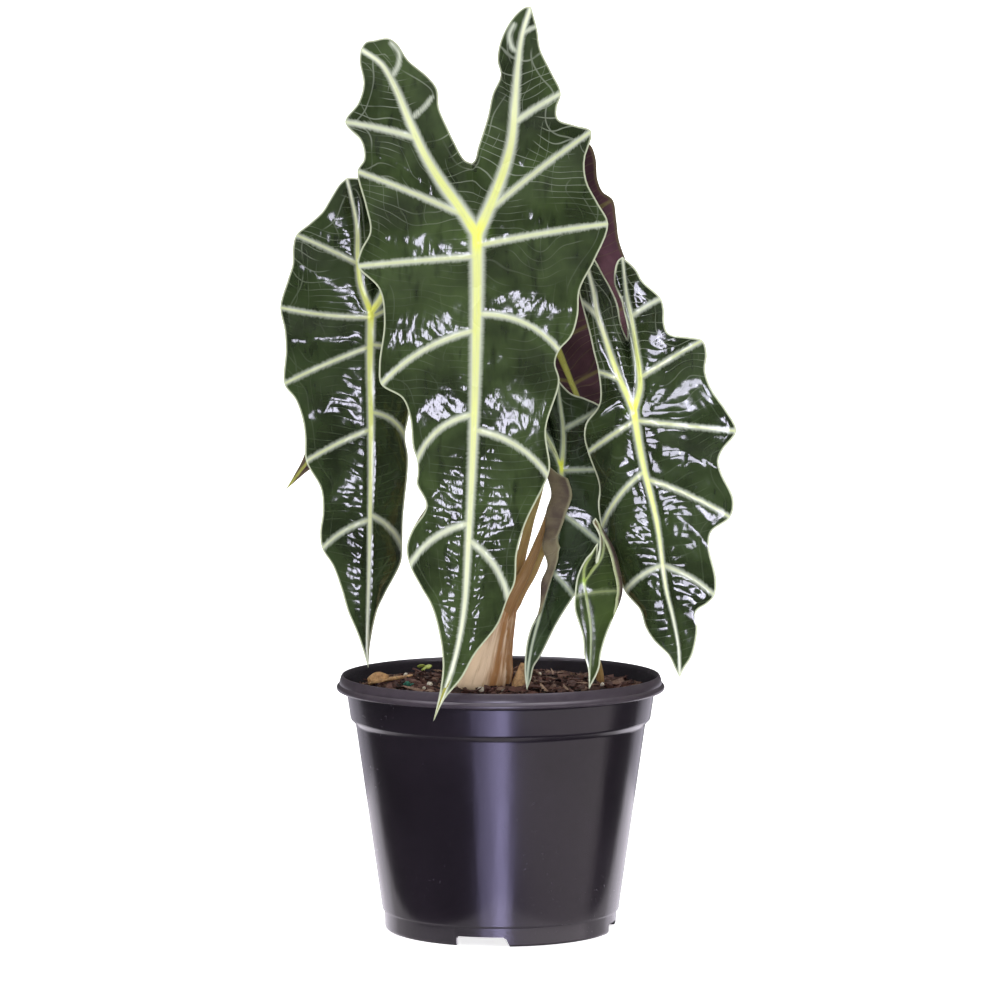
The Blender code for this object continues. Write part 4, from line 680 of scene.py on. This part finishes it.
def blade_sheet(blade):
    """Points, values and triangles of a blade's middle surface, welded along its ribs."""
    midrib, midrib_length = measured(blade["midrib"] + [(0, 0)])
    joint = midrib_length[-1]
    shared = [0, joint]
    for side in ("left", "right"):
        shared += [lobe[0] for lobe in blade[side]["lobes"][:-1] if lobe[0] < joint]
    shared_rows = stepped(shared, STEP)
    seam = np.mean([blade["left"]["fall"], blade["right"]["fall"]], axis=0)
    count = 0
    points, values, faces = [], [], []
    first = None
    for name in ("left", "right"):
        side = blade[name]
        basal, basal_length = measured([(0, 0)] + side["rib"])
        path = np.vstack([midrib, basal[1:]])
        length = np.concatenate([midrib_length, joint + basal_length[1:]])
        total = length[-1]
        tip = side["rib"][-1]
        roots, bows, stretches = zip(*side["lobes"])
        roots = roots[:-1]
        knots = [0, *roots, total]
        margin, ends = [blade["midrib"][0]], [0]
        for stretch in stretches:
            margin += stretch
            ends.append(len(margin) - 1)
        margin.append(tip)
        ends[-1] += 1
        upper = stepped([joint, total] + [root for root in roots if root > joint], STEP)
        rows = np.concatenate([shared_rows, upper[1:]])
        fall = np.array(side["fall"])
        falls = np.tile(fall, (len(rows), 1))
        columns = max(10, int(blade["width"] / STEP))
        at, phase, bow = (np.interp(rows, knots, stops) for stops in (ends, range(len(knots)), (0, *bows)))
        outer = patch(blade, falls, rows, path, length, margin, at, phase, bow, columns, roots)
        folds = np.zeros(len(rows))
        if "fold" in side:
            at, widths = zip(*side["fold"])
            folds = np.interp(rows, at, widths)
            outer = fold_strip(*outer, folds)
        share = (upper - joint) / (total - joint)
        sinus = side["sinus"] + [tip]
        inner = patch(blade, seam + (fall - seam) * share[:, None], upper, path, length, sinus,
                      share * (len(sinus) - 1), share * 2, np.zeros(len(upper)), max(8, columns // 3), [])
        start = len(shared_rows) - 1
        numbered = []
        for grid_points, grid_values in (outer, inner):
            numbered.append(count + np.arange(grid_values[..., 0].size).reshape(grid_values.shape[:2]))
            count += numbered[-1].size
            points.append(grid_points.reshape(-1, 3))
            values.append(grid_values.reshape(-1, grid_values.shape[2]))
        index, inside = numbered
        # Both sides share the midrib's points, and each side's inner part shares its basal rib's
        index[0] = index[0, 0]
        if first:
            index[:start + 1, 0] = first[0][:start + 1, 0]
            index[0] = first[0][0, 0]
            inside[0] = first[1][0]
        index[-1] = index[-1, 0]
        flat = np.where(folds <= 0)[0]
        if "fold" in side:
            index[flat, columns + 1:] = index[flat, columns:columns + 1]
        inside[:, 0] = index[start:, 0]
        inside[-1] = index[-1, 0]
        first = (index, inside)
        for grid, flip in ((index, name == "left"), (inside, name == "right")):
            a, b, c, d = grid[:-1, :-1], grid[:-1, 1:], grid[1:, 1:], grid[1:, :-1]
            halves = np.vstack([np.stack(corners, -1).reshape(-1, 3) for corners in ((a, b, c), (a, c, d))])
            faces.append(halves[:, ::-1] if flip else halves)
    points, values, faces = np.vstack(points), np.vstack(values), np.vstack(faces)
    if not blade["faces_front"]:
        faces = faces[:, ::-1]
    faces = faces[(faces[:, 0] != faces[:, 1]) & (faces[:, 1] != faces[:, 2]) & (faces[:, 0] != faces[:, 2])]
    used, faces = np.unique(faces, return_inverse=True)
    return points[used], values[used], faces.reshape(-1, 3)


def corner_normals(points, faces):
    """Direction in which a surface faces at each of its points."""
    a, b, c = (points[faces[:, k]] for k in range(3))
    cross = np.cross(b - a, c - a)
    normals = np.zeros_like(points)
    for k in range(3):
        np.add.at(normals, faces[:, k], cross)
    return normals / np.maximum(np.linalg.norm(normals, axis=1, keepdims=True), 1e-9)


def shown(name, data):
    """Object of a mesh, a light or a camera, in the scene."""
    made = bpy.data.objects.new(name, data)
    bpy.context.scene.collection.objects.link(made)
    return made


def worked(name, bm):
    """Object from a worked mesh, in the scene."""
    mesh = bpy.data.meshes.new(name)
    bm.to_mesh(mesh)
    bm.free()
    return shown(name, mesh)


def add_piece(name, points, faces, materials, nodes, values=None, face_slots=None):
    """Shown piece from points in millimetres: it rides on the body and stands for its CAD nodes."""
    mesh = bpy.data.meshes.new(name)
    mesh.from_pydata((np.asarray(points) * MM).tolist(), [], [list(face) for face in faces])
    for kind, numbers in (values or {}).items():
        kept_values = mesh.attributes.new(kind, "FLOAT_VECTOR", "POINT")
        kept_values.data.foreach_set("vector", np.asarray(numbers, np.float32).ravel())
    for finish in materials:
        mesh.materials.append(finish)
    if face_slots is not None:
        mesh.polygons.foreach_set("material_index", np.asarray(face_slots, np.int32))
    mesh.validate()
    mesh.shade_smooth()
    piece = shown(name, mesh)
    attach(piece, "root")
    if nodes:
        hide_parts(*nodes)
    return piece


def add_blade(name, blade, materials):
    """Leaf blade: its two faces with sunk veins above and raised ribs below, and a closed rim."""
    points, values, faces = blade_sheet(blade)
    normals = corner_normals(points, faces)
    rib, vein, edge, half = (values[:, k] for k in (TO_RIB, TO_VEIN, TO_EDGE, HALF))
    thin = LEAF / 2 * (0.45 + 0.55 * ramp(edge, 1.2))
    ridge = (0.4 + 0.75 * half) * bell(rib, half * 0.9 + 0.3) * ramp(edge, 3)
    small = 0.7 * bell(vein, 0.9) * ramp(edge, 4)
    top = points + normals * thin[:, None]
    under = points - normals * (thin + np.maximum(ridge, small))[:, None]
    # The rim is walled along the sides that only one triangle has
    count = len(points)
    sides = np.vstack([faces[:, [0, 1]], faces[:, [1, 2]], faces[:, [2, 0]]])
    _, place, times = np.unique(sides.min(1) * count + sides.max(1), return_index=True, return_counts=True)
    rim = sides[place[times == 1]]
    walls = np.vstack([np.stack([rim[:, 1], rim[:, 0], rim[:, 0] + count], -1),
                       np.stack([rim[:, 1], rim[:, 0] + count, rim[:, 1] + count], -1)])
    every = np.vstack([faces, faces[:, ::-1] + count, walls])
    slots = np.concatenate([np.zeros(len(faces)), np.ones(len(faces)), np.zeros(len(walls))])
    parts = np.split(np.vstack([values, values]), 4, axis=1)
    whole = np.vstack([top, under]) + np.array(blade["junction"], float)
    add_piece("leaf_" + name, whole, every, materials, ["blade_" + name],
              dict(zip(("place", "lines", "sizes", "relief"), parts)), slots)


def circle(sides):
    """Even turns round a circle, each with its cosine and sine."""
    turns = [2 * math.pi * k / sides for k in range(sides)]
    return [(turn, math.cos(turn), math.sin(turn)) for turn in turns]


def tube_faces(rings, sides):
    """Faces between rings of points that follow one another."""
    faces = []
    for ring in range(rings - 1):
        for k in range(sides):
            a, b = ring * sides + k, ring * sides + (k + 1) % sides
            faces.append([a, b, b + sides, a + sides])
    return faces


def capped(rings, sides):
    """Faces of a tube that is closed at both ends."""
    ends = [list(range(sides))[::-1], list(range((rings - 1) * sides, rings * sides))]
    return tube_faces(rings, sides) + ends


def sweep(path, radii, sides):
    """Round tube along points, with values for its skin: millimetres along, turn and share."""
    path = np.asarray(path, float)
    run = np.gradient(path, axis=0)
    run /= np.linalg.norm(run, axis=1, keepdims=True)
    across = np.cross(run[0], [0, 0, 1.0])
    across = across / np.linalg.norm(across) if np.linalg.norm(across) > 0.05 else np.array([1.0, 0, 0])
    length = np.concatenate([[0], np.cumsum(np.linalg.norm(np.diff(path, axis=0), axis=1))])
    turns = np.linspace(0, 2 * math.pi, sides, endpoint=False)
    points, values = [], []
    for centre, forward, radius, far in zip(path, run, radii, length):
        across = across - forward * across.dot(forward)
        across /= np.linalg.norm(across)
        other = np.cross(forward, across)
        ring = centre + radius * (np.cos(turns)[:, None] * across + np.sin(turns)[:, None] * other)
        points.append(ring)
        values.append(np.stack([np.full(sides, far), np.cos(turns) + 2 * np.sin(turns),
                                np.full(sides, far / length[-1])], -1))
    return np.vstack(points), capped(len(path), sides), np.vstack(values)


def add_petiole(name, finish):
    """Leaf stalk: swollen at its foot, slim and round above, running out into its blade's rib."""
    stalk = PETIOLES[name]
    blade = BLADES[name]
    back = np.array([blade["turn"], 1, blade["slope"]]) * (1 if blade["faces_front"] else -1)
    back /= np.linalg.norm(back)
    seat = np.array(blade["junction"], float) + back * 0.6
    if "angle" in stalk:
        turn = math.radians(stalk["angle"])
        mouth = CROWN_TOP + PETIOLE_RING * np.array([math.cos(turn), math.sin(turn), 0])
        foot = mouth - CROWN_AXIS * SOCKET_DEPTH
        flare, flare_height = 1.9, 33
    else:
        mouth = np.array(stalk["mouth"])
        foot = mouth - np.array([0, 0, SOCKET_DEPTH])
        flare, flare_height = 0.6, 20
    path, length = measured([foot, mouth, *stalk["via"], seat + back * 5.5, seat], 16)
    at = np.arange(0, length[-1], 1.6)
    line = np.stack([np.interp(at, length, path[:, k]) for k in range(3)], -1)
    share = at / length[-1]
    wide, slim = stalk["radii"]
    radii = wide + (slim - wide) * share
    radii += flare * np.exp(-(at / flare_height) ** 3) * ramp(at, SOCKET_DEPTH) ** 1.5
    radii += 0.4 * bell(length[-1] - at, 5)
    radii *= 1 + 0.03 * np.sin(at * 0.35 + blade["seed"])
    points, faces, values = sweep(line, radii, 18)
    add_piece("stalk_" + name, points, faces, [finish], ["petiole_" + name], {"place": values})


def add_pot(finish):
    """Nursery pot: turned shell with its folded rim, groove, collar, foot ring and foot notches."""
    outer = [(78.9, 127.9), (79.3, 128.3), (79.9, 128.25), (80.4, 127.4), (80.9, 125.6), (81.2, 124.5),
             (81.15, 124), (81.6, 123.7), (82.3, 123), (82.6, 122.1), (82.3, 121.2), (81.7, 120.8),
             (80, 120.6), (77.9, 120.45), (77.5, 120), (77.35, 119.2), (75.6, 107.2), (75.3, 106.3),
             (74.9, 105.9), (73.3, 104.2), (72.95, 103.7), (72.85, 102.8), (59.75, 10.4), (59.6, 9.9),
             (59.2, 9.5), (58.75, 9.3), (58.6, 8.8), (58.35, 1.4), (58.1, 0.6), (57.5, 0.1), (57.2, 0)]
    under = [(55.2, 0), (54.8, 0.3), (54.6, 0.9), (54.4, 5), (53.9, 5.6), (0, 5.6)]
    inner = [(0, 7.4), (57.2, 7.4), (58, 8), (71.3, 106.6), (71.6, 107.3), (73.6, 109.6), (73.9, 110.3),
             (77.6, 126), (78.2, 127.2)]
    # Foot notches and drain holes: how large they are and how far from the axis
    notch_depth, notch_width, notch_slant, notch_top, notch_ring = 9, 27.5, 3, 4.8, 56.5
    drain_radius, drain_ring = 4.5 * MM, 44 * MM
    bm = bmesh.new()
    verts = [bm.verts.new((radius * MM, 0, height * MM)) for radius, height in outer + under + inner]
    for first, second in zip(verts, verts[1:] + verts[:1]):
        bm.edges.new((first, second))
    pot = worked("pot_shell", bm)
    screw = pot.modifiers.new("turn", "SCREW")
    screw.steps = screw.render_steps = 192
    screw.use_merge_vertices = True
    screw.merge_threshold = 0.05 * MM
    tools = []
    for k in range(4):
        turn = math.radians(NOTCH_ANGLE + 90 * k)
        bm = bmesh.new()
        bmesh.ops.create_cube(bm, size=1)
        for vert in bm.verts:
            x, y, z = vert.co
            slant = notch_slant if z > 0 and y > 0 else 0
            vert.co = Vector((x * notch_depth, y * notch_width - slant, notch_top if z > 0 else -2)) * MM
        upright = [edge for edge in bm.edges if abs(edge.verts[0].co.x - edge.verts[1].co.x) > MM]
        bmesh.ops.bevel(bm, geom=upright, offset=0.8 * MM, segments=3, affect="EDGES")
        tools.append(worked("notch", bm))
        tools[-1].matrix_world = Matrix.Rotation(turn, 4, "Z") @ Matrix.Translation((notch_ring * MM, 0, 0))
        bm = bmesh.new()
        bmesh.ops.create_cone(bm, cap_ends=True, segments=32, depth=12 * MM, radius1=drain_radius,
                              radius2=drain_radius)
        tools.append(worked("drain", bm))
        tools[-1].location = (drain_ring * math.cos(turn), drain_ring * math.sin(turn), 6.5 * MM)
    for tool in tools:
        cut = pot.modifiers.new("cut", "BOOLEAN")
        cut.operation = "DIFFERENCE"
        cut.solver = "EXACT"
        cut.object = tool
    bpy.context.view_layer.update()
    ready = bpy.data.meshes.new_from_object(pot.evaluated_get(bpy.context.evaluated_depsgraph_get()))
    pot.modifiers.clear()
    pot.data = ready
    for tool in tools:
        bpy.data.objects.remove(tool)
    ready.materials.append(finish)
    ready.shade_smooth()
    ready.set_sharp_from_angle(angle=math.radians(38))
    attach(pot, "root")
    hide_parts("pot")


def soil_height(x, y):
    """Height of the soil at a place, all in millimetres."""
    bumps = (0.55 * np.sin(0.31 * x + 1.3) * np.cos(0.27 * y - 0.4)
             + 0.35 * np.sin(0.52 * y + 0.21 * x) + 0.3 * np.cos(0.45 * x - 0.33 * y))
    inside = 1 - np.minimum(1, np.hypot(x, y) / SOIL_RADIUS)
    return SOIL_LEVEL + SOIL_RISE * np.minimum(1, 2.2 * inside) + bumps * np.minimum(1, 6 * inside)


def add_lump(piece, base, place, size, tilt, tone, chance, roundness):
    """One chip or crumb, added to a piece's points, faces and values."""
    points, faces, values = piece
    turn_x, turn_y, turn_z = (Matrix.Rotation(angle, 3, axis) for angle, axis in zip(tilt, "XYZ"))
    turn = turn_z @ turn_x @ turn_y
    start = len(points)
    for vert in base[0]:
        shape = Vector([value * (1 + roundness * chance.uniform(-1, 1)) for value in vert])
        points.append(tuple(Vector(place) + turn @ (shape * Vector(size))))
        values.append((tone + chance.uniform(-0.06, 0.06), chance.random(), 0))
    faces.extend([[start + k for k in face] for face in base[1]])


def base_shape(kind, chance):
    """Points and faces of an angular shard or a ball, about 1 across."""
    bm = bmesh.new()
    if kind == "shard":
        for k in range(11):
            bm.verts.new([chance.uniform(-0.5, 0.5) for axis in range(3)])
        bmesh.ops.convex_hull(bm, input=bm.verts)
        bmesh.ops.delete(bm, geom=[vert for vert in bm.verts if not vert.link_faces], context="VERTS")
        bm.verts.index_update()
    else:
        bmesh.ops.create_icosphere(bm, subdivisions=2, radius=0.5)
    shape = [tuple(vert.co) for vert in bm.verts], [[vert.index for vert in face.verts] for face in bm.faces]
    bm.free()
    return shape


def add_soil(finish):
    """Bark mix: an uneven ground, with coarse chips, splinters and crumbs heaped on it."""
    chance = random.Random(5)
    rings, sides = 76, 300
    points, values = [], []
    radii = np.linspace(0, SOIL_RADIUS - 0.2, rings)
    for radius in radii:
        for _, across, ahead in circle(sides):
            x, y = radius * across, radius * ahead
            fine = 0.9 * math.sin(1.1 * x + 2 * math.sin(0.7 * y))
            fine *= math.sin(0.9 * y + 1.7 * math.sin(0.6 * x))
            points.append((x, y, float(soil_height(x, y)) - 1.6 + fine))
            values.append((0.12 + 0.1 * math.sin(0.5 * x) * math.sin(0.6 * y), 0, 0))
    for _, across, ahead in circle(sides):
        points.append((70 * across, 70 * ahead, 104))
        values.append((0.1, 0, 0))
    faces = tube_faces(rings + 1, sides)
    shards = [base_shape("shard", chance) for k in range(24)]

    def spot(room):
        while True:
            radius = (SOIL_RADIUS - room) * math.sqrt(chance.random())
            turn = chance.uniform(0, 2 * math.pi)
            x, y = radius * math.cos(turn), radius * math.sin(turn)
            if math.hypot(x - CROWN_SOIL[0], y - CROWN_SOIL[1]) > CROWN_REACH + room / 2:
                return x, y

    # count, longest side, width share, thickness, sink, lift, tone, room to the wall
    heaps = [(330, (7, 15), (0.35, 0.6), (1.5, 3.6), 1.0, 1.6, 0.42, 7),
             (110, (10, 20), (0.1, 0.2), (1.0, 2.0), 0.3, 2.0, 0.62, 9),
             (700, (2.5, 6), (0.4, 0.8), (0.9, 2.2), 0.8, 1.2, 0.36, 3.5),
             (2200, (0.8, 2.4), (0.5, 1.0), (0.6, 1.3), 0.5, 0.9, 0.34, 2)]
    for count, lengths, shares, heights, sink, lift, middle, room in heaps:
        for k in range(count):
            x, y = spot(room)
            size = chance.uniform(*lengths)
            shape = (size, size * chance.uniform(*shares), chance.uniform(*heights))
            tone = min(1, max(0, chance.gauss(middle, 0.27)))
            place = (x, y, float(soil_height(x, y)) - sink + chance.uniform(-0.5, lift))
            tilt = (chance.gauss(0, 0.35), chance.gauss(0, 0.22), chance.uniform(0, 6.3))
            add_lump((points, faces, values), chance.choice(shards), place, shape, tilt, tone, chance, 0.0)
    soil = add_piece("bark_mix", points, faces, [finish], ["soil"], {"place": values})
    soil.data.set_sharp_from_angle(angle=math.radians(35))


def add_grains(name, places, finish):
    """Perlite or other small grains lying on the mix, each with its place and how large it is."""
    chance = random.Random(9)
    lumps = [], [], []
    ball = base_shape("ball", chance)
    for x, y, scale in places:
        shape = [GRAIN * scale * chance.uniform(0.8, 1.15) for axis in range(3)]
        place = (x, y, float(soil_height(x, y)) + 0.5)
        tilt = (chance.uniform(0, 3), chance.uniform(0, 3), 0)
        add_lump(lumps, ball, place, shape, tilt, 0.5, chance, 0.2)
    add_piece(name, lumps[0], lumps[1], [finish], [])


def add_seedling(finish):
    """Seedling: a short stem with three small round leaves."""
    chance = random.Random(3)
    stem = [(-40, 57, 118), (-39.8, 56.6, 121.5), (-39.4, 56, 125)]
    points, faces, values = sweep(stem, (0.7, 0.6, 0.5), 12)
    points, values = points.tolist(), values.tolist()
    ball = base_shape("ball", chance)
    for turn, lean, far, lift in ((0.3, -0.3, 2.0, 125.2), (2.7, 0.35, 1.9, 125.6), (4.6, 0.2, 1.6, 124.4)):
        place = (-39.4 + far * math.cos(turn), 56 + far * math.sin(turn), lift)
        add_lump((points, faces, values), ball, place, (4.4, 3.4, 1.0), (0.5, lean, turn), 0.5, chance, 0.03)
    add_piece("seedling", points, faces, [finish], ["sprout"])


def add_crown(finish):
    """Crown: dry leaf bases wrapped round each other, drawn in where the stalks leave."""
    shares = (0, 0.18, 0.36, 0.56, 0.78, 0.95, 1.06, 1.14)
    radii = (15.2, 14.5, 12.2, 10.6, 9.4, 8.4, 6.6, 3)
    sides, rings = 144, 60
    points, values = [], []
    for ring in range(rings):
        level = -0.16 + 1.3 * ring / (rings - 1)
        centre = CROWN_SOIL + (CROWN_TOP - CROWN_SOIL) * level
        for turn, across, ahead in circle(sides):
            radius = float(np.interp(level, shares, radii)) * (1 + 0.06 * math.cos(3 * turn + 1.25 * level))
            wrap = (turn * 4 / (2 * math.pi) + 0.35 + 0.3 * level) % 1
            radius += 1.1 * wrap ** 3 - 0.3
            radius += 0.14 * math.sin(11 * turn + 1.3 + 1.5 * math.sin(4 * level))
            radius += 0.1 * math.sin(23 * turn + 2.7 * math.sin(3 * level + 1))
            radius += 0.05 * math.sin(47 * turn + 5 * level)
            points.append(centre + np.array([across * radius, ahead * radius, 0]))
            # The last value is how far to the right a place lies; the skin uses it to paint the left side
            # paler, as painted light.
            values.append((level * 52, across * 1.2 + 2 * ahead, across))
    faces = capped(rings, sides)
    add_piece("crown_sheaths", points, faces, [finish], ["crown"], {"place": values})


def main():
    """Dress the model, then set the stage."""
    top = leaf_top(
        "waxy dark leaf", "#222b17", "#384626", "#b4bba9", "#d4d9be", "#d2d884", "#dce14c", 0.11, 1.25)
    # The left and right leaves get a darker copy of the leaf skin: the darkening is painted shade.
    painted_shade_top = leaf_top(
        "waxy shaded leaf", "#1a2211", "#2b371d", "#969d8b", "#b3b79f", "#c3cb70", "#d8dd48", 0.11, 0.45)
    middle_top = leaf_top(
        "waxy mid leaf", "#1e2817", "#2e3c23", "#87927f", "#959f84", "#abb583", "#cfd93c", 0.12, 0.5)
    young_top = leaf_top(
        "waxy young leaf", "#1f2812", "#303e1a", "#66714f", "#6f7b52", "#8d9c4e", "#a9c838", 0.12,
        0.5, 0.5, 0.85)
    under = leaf_under("purple leaf underside", "#6b4852", "#523640", "#8f9040", "#5c5038", 0.75)
    middle_under = leaf_under("olive leaf underside", "#686048", "#43372d", "#7b7656", "#7d7a5c")
    young_under = leaf_under("brown leaf underside", "#40352a", "#2b221c", "#6d6740", "#8b9468")
    for name, blade in BLADES.items():
        upper = {"young": young_top, "middle": middle_top, "left": painted_shade_top, "right": painted_shade_top}.get(name, top)
        below = {"young": young_under, "middle": middle_under}.get(name, under)
        add_blade(name, blade, [upper, below])
    olive = stalk_skin("olive leaf stalk", "#96703f", "#8f8f4b", "#ad9d60")
    brown = stalk_skin("brown dry leaf stalk", "#8f683a", "#806439", "#b39058")
    for name in PETIOLES:
        add_petiole(name, brown if name == "middle" else olive)
    add_crown(dry_sheath("dry leaf sheaths", "#dcc3a0", "#a07242", "#754f2e"))
    add_pot(pot_plastic("glossy black pot plastic"))
    add_soil(bark_mix("bark potting mix"))
    add_grains("perlite",
               [(-48.5, 35, 1), (-52.4, -21, 0.9), (-35.4, -9, 1.3), (-38.2, -21, 0.8), (-9.8, -32.5, 1.3),
                (51, -8, 0.9), (1, -26, 0.8), (40, -14, 0.8), (-3, 30, 1), (20, 41, 0.8)],
               plain_grain("white perlite", "#d9d3c2", "#a79a80", 900, 0.8))
    add_grains("fertiliser_grain", [(-47, -6, 1.5), (-44.5, -7, 1)],
               plain_grain("teal feed grain", "#12705a", "#0b4438", 700, 0.4))
    tan = plain_grain("dry tan leaf", "#c29c6a", "#93704a", 500, 0.7)
    add_seedling(plain_grain("lime seedling", "#a9b653", "#7f9140", 600, 0.5))
    for node in ("old_stalk", "dry_leaf"):
        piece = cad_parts[node]
        piece.data.materials.clear()
        piece.data.materials.append(tan)
    set_stage()


def add_light(name, place, aim, size, power, colour="#ffffff", only=None, soft=False):
    """Soft rectangular studio light; one piece alone may take it, as a card held up to it would do."""
    data = bpy.data.lights.new(name, "AREA")
    data.shape = "RECTANGLE"
    data.size, data.size_y = size
    data.energy = power
    data.color = linear(colour)[:3]
    light = shown(name, data)
    light.location = place
    light.rotation_euler = (Vector(aim) - Vector(place)).to_track_quat("-Z", "Y").to_euler()
    light.visible_glossy = not soft
    if only:
        light.light_linking.receiver_collection = only
        light.light_linking.blocker_collection = only if name.startswith(("card", "rim")) else None
    return light


def set_stage():
    """Pale sweep that glows as painted light, soft lights and the photo's camera."""
    scene = bpy.context.scene
    made, add = new_material("white sweep")
    # The sweep glows, dimly in front and brighter towards the back: painted light.
    lit = add("fade", add("split", add("place"))[1], -0.7, -0.15, 0.1, 0.75)
    fill(made.node_tree.nodes["Principled BSDF"], {
        "Base Color": "#f2f2f2", "Roughness": 0.9, "Emission Color": "#ffffff", "Emission Strength": lit})
    bm = bmesh.new()
    profile = [(0.02, 0.0), (0.7, 0.0), (1.4, 0.0), (2.1, 0.0), (2.8, 0.0)]
    profile += [(2.8 + 0.8 * math.sin(a), 0.8 - 0.8 * math.cos(a)) for a in np.linspace(0.1, math.pi / 2, 12)]
    profile.append((3.6, 4.0))
    rows = [[bm.verts.new((far * x, far * y, height)) for _, x, y in circle(96)] for far, height in profile]
    bm.faces.new(rows[0])
    for low, high in zip(rows, rows[1:]):
        for k in range(len(low)):
            bm.faces.new([low[k - 1], low[k], high[k], high[k - 1]])
    ground = worked("studio_sweep", bm)
    ground.data.shade_smooth()
    ground.data.materials.append(made)
    ground.visible_glossy = False
    world = bpy.data.worlds.new("studio")
    world.use_nodes = True
    add = partial(add_node, world.node_tree)
    upward = add("split", add("toward"))[2]
    fill(world.node_tree.nodes["Background"],
         {"Color": "#ffffff", "Strength": add("fade", upward, 0.1, 0.95, 0.07, 0.34)})
    scene.world = world
    plant = (0, 0, 0.25)
    add_light("window", (0.0, -2.75, 0.21), plant, (0.82, 0.54), 29, "#ebe8ff")
    add_light("ceiling", (0.0, -0.9, 2.0), plant, (2.2, 1.8), 17.5, soft=True)
    add_light("overhead", (0, 0.5, 1.9), (0, 0.1, 0.2), (1.2, 1.0), 14)
    groups = [(("right", "middle", "young"), (1.35, 0.95), 62.8425), (("left",), (0.6, 0.6), 17.64)]
    for group, size, power in groups:
        leaves = bpy.data.collections.new("leaves_" + group[0])
        for name in group:
            leaves.objects.link(bpy.data.objects["leaf_" + name])
        add_light("window_" + group[0], (-0.9, -2.55, 0.42), plant, size, power, "#ebe8ff", leaves)
    cards = bpy.data.collections.new("pot_cards")
    cards.objects.link(bpy.data.objects["pot_shell"])
    pot = (0, 0, 0.07)
    add_light("card_front", (0.03, -1.5, -0.55), pot, (0.27, 1.3), 10.8, "#d0c8ff", cards)
    add_light("card_left", (-0.31, -1.47, -0.55), pot, (0.4, 1.3), 5.5, "#d0c8ff", cards)
    add_light("card_right", (1.21, -0.88, -0.45), pot, (2.6, 1.0), 8.3, "#fff4fa", cards)
    add_light("card_above", (0.0, -0.4, 1.9), pot, (3.0, 2.0), 56, "#f6f0ff", cards)
    behind = Vector((0, 0.194, 0.0005))
    floor = add_light("card_floor", behind, behind + Vector((0, 0, 1)), (0.42, 0.42), 0.48, "#fff8ff", cards)
    floor.rotation_euler.rotate_axis("Z", math.radians(45))
    add_light("rim_left", (-0.68, 1.15, -0.35), pot, (0.9, 0.9), 1.9, "#f4eeff", cards)
    add_light("rim_right", (0.7, 1.12, -0.35), pot, (0.8, 0.9), 2.3, "#f4eeff", cards)
    data = bpy.data.cameras.new("camera")
    data.lens = 158.38
    data.sensor_width = 36
    camera = shown("camera", data)
    camera.location = (-0.0003, -2.2, 0.3975)
    camera.rotation_euler = (math.radians(85.29), 0, 0)
    scene.camera = camera
    scene.view_settings.view_transform = "Standard"
    scene.view_settings.look = "None"


main()
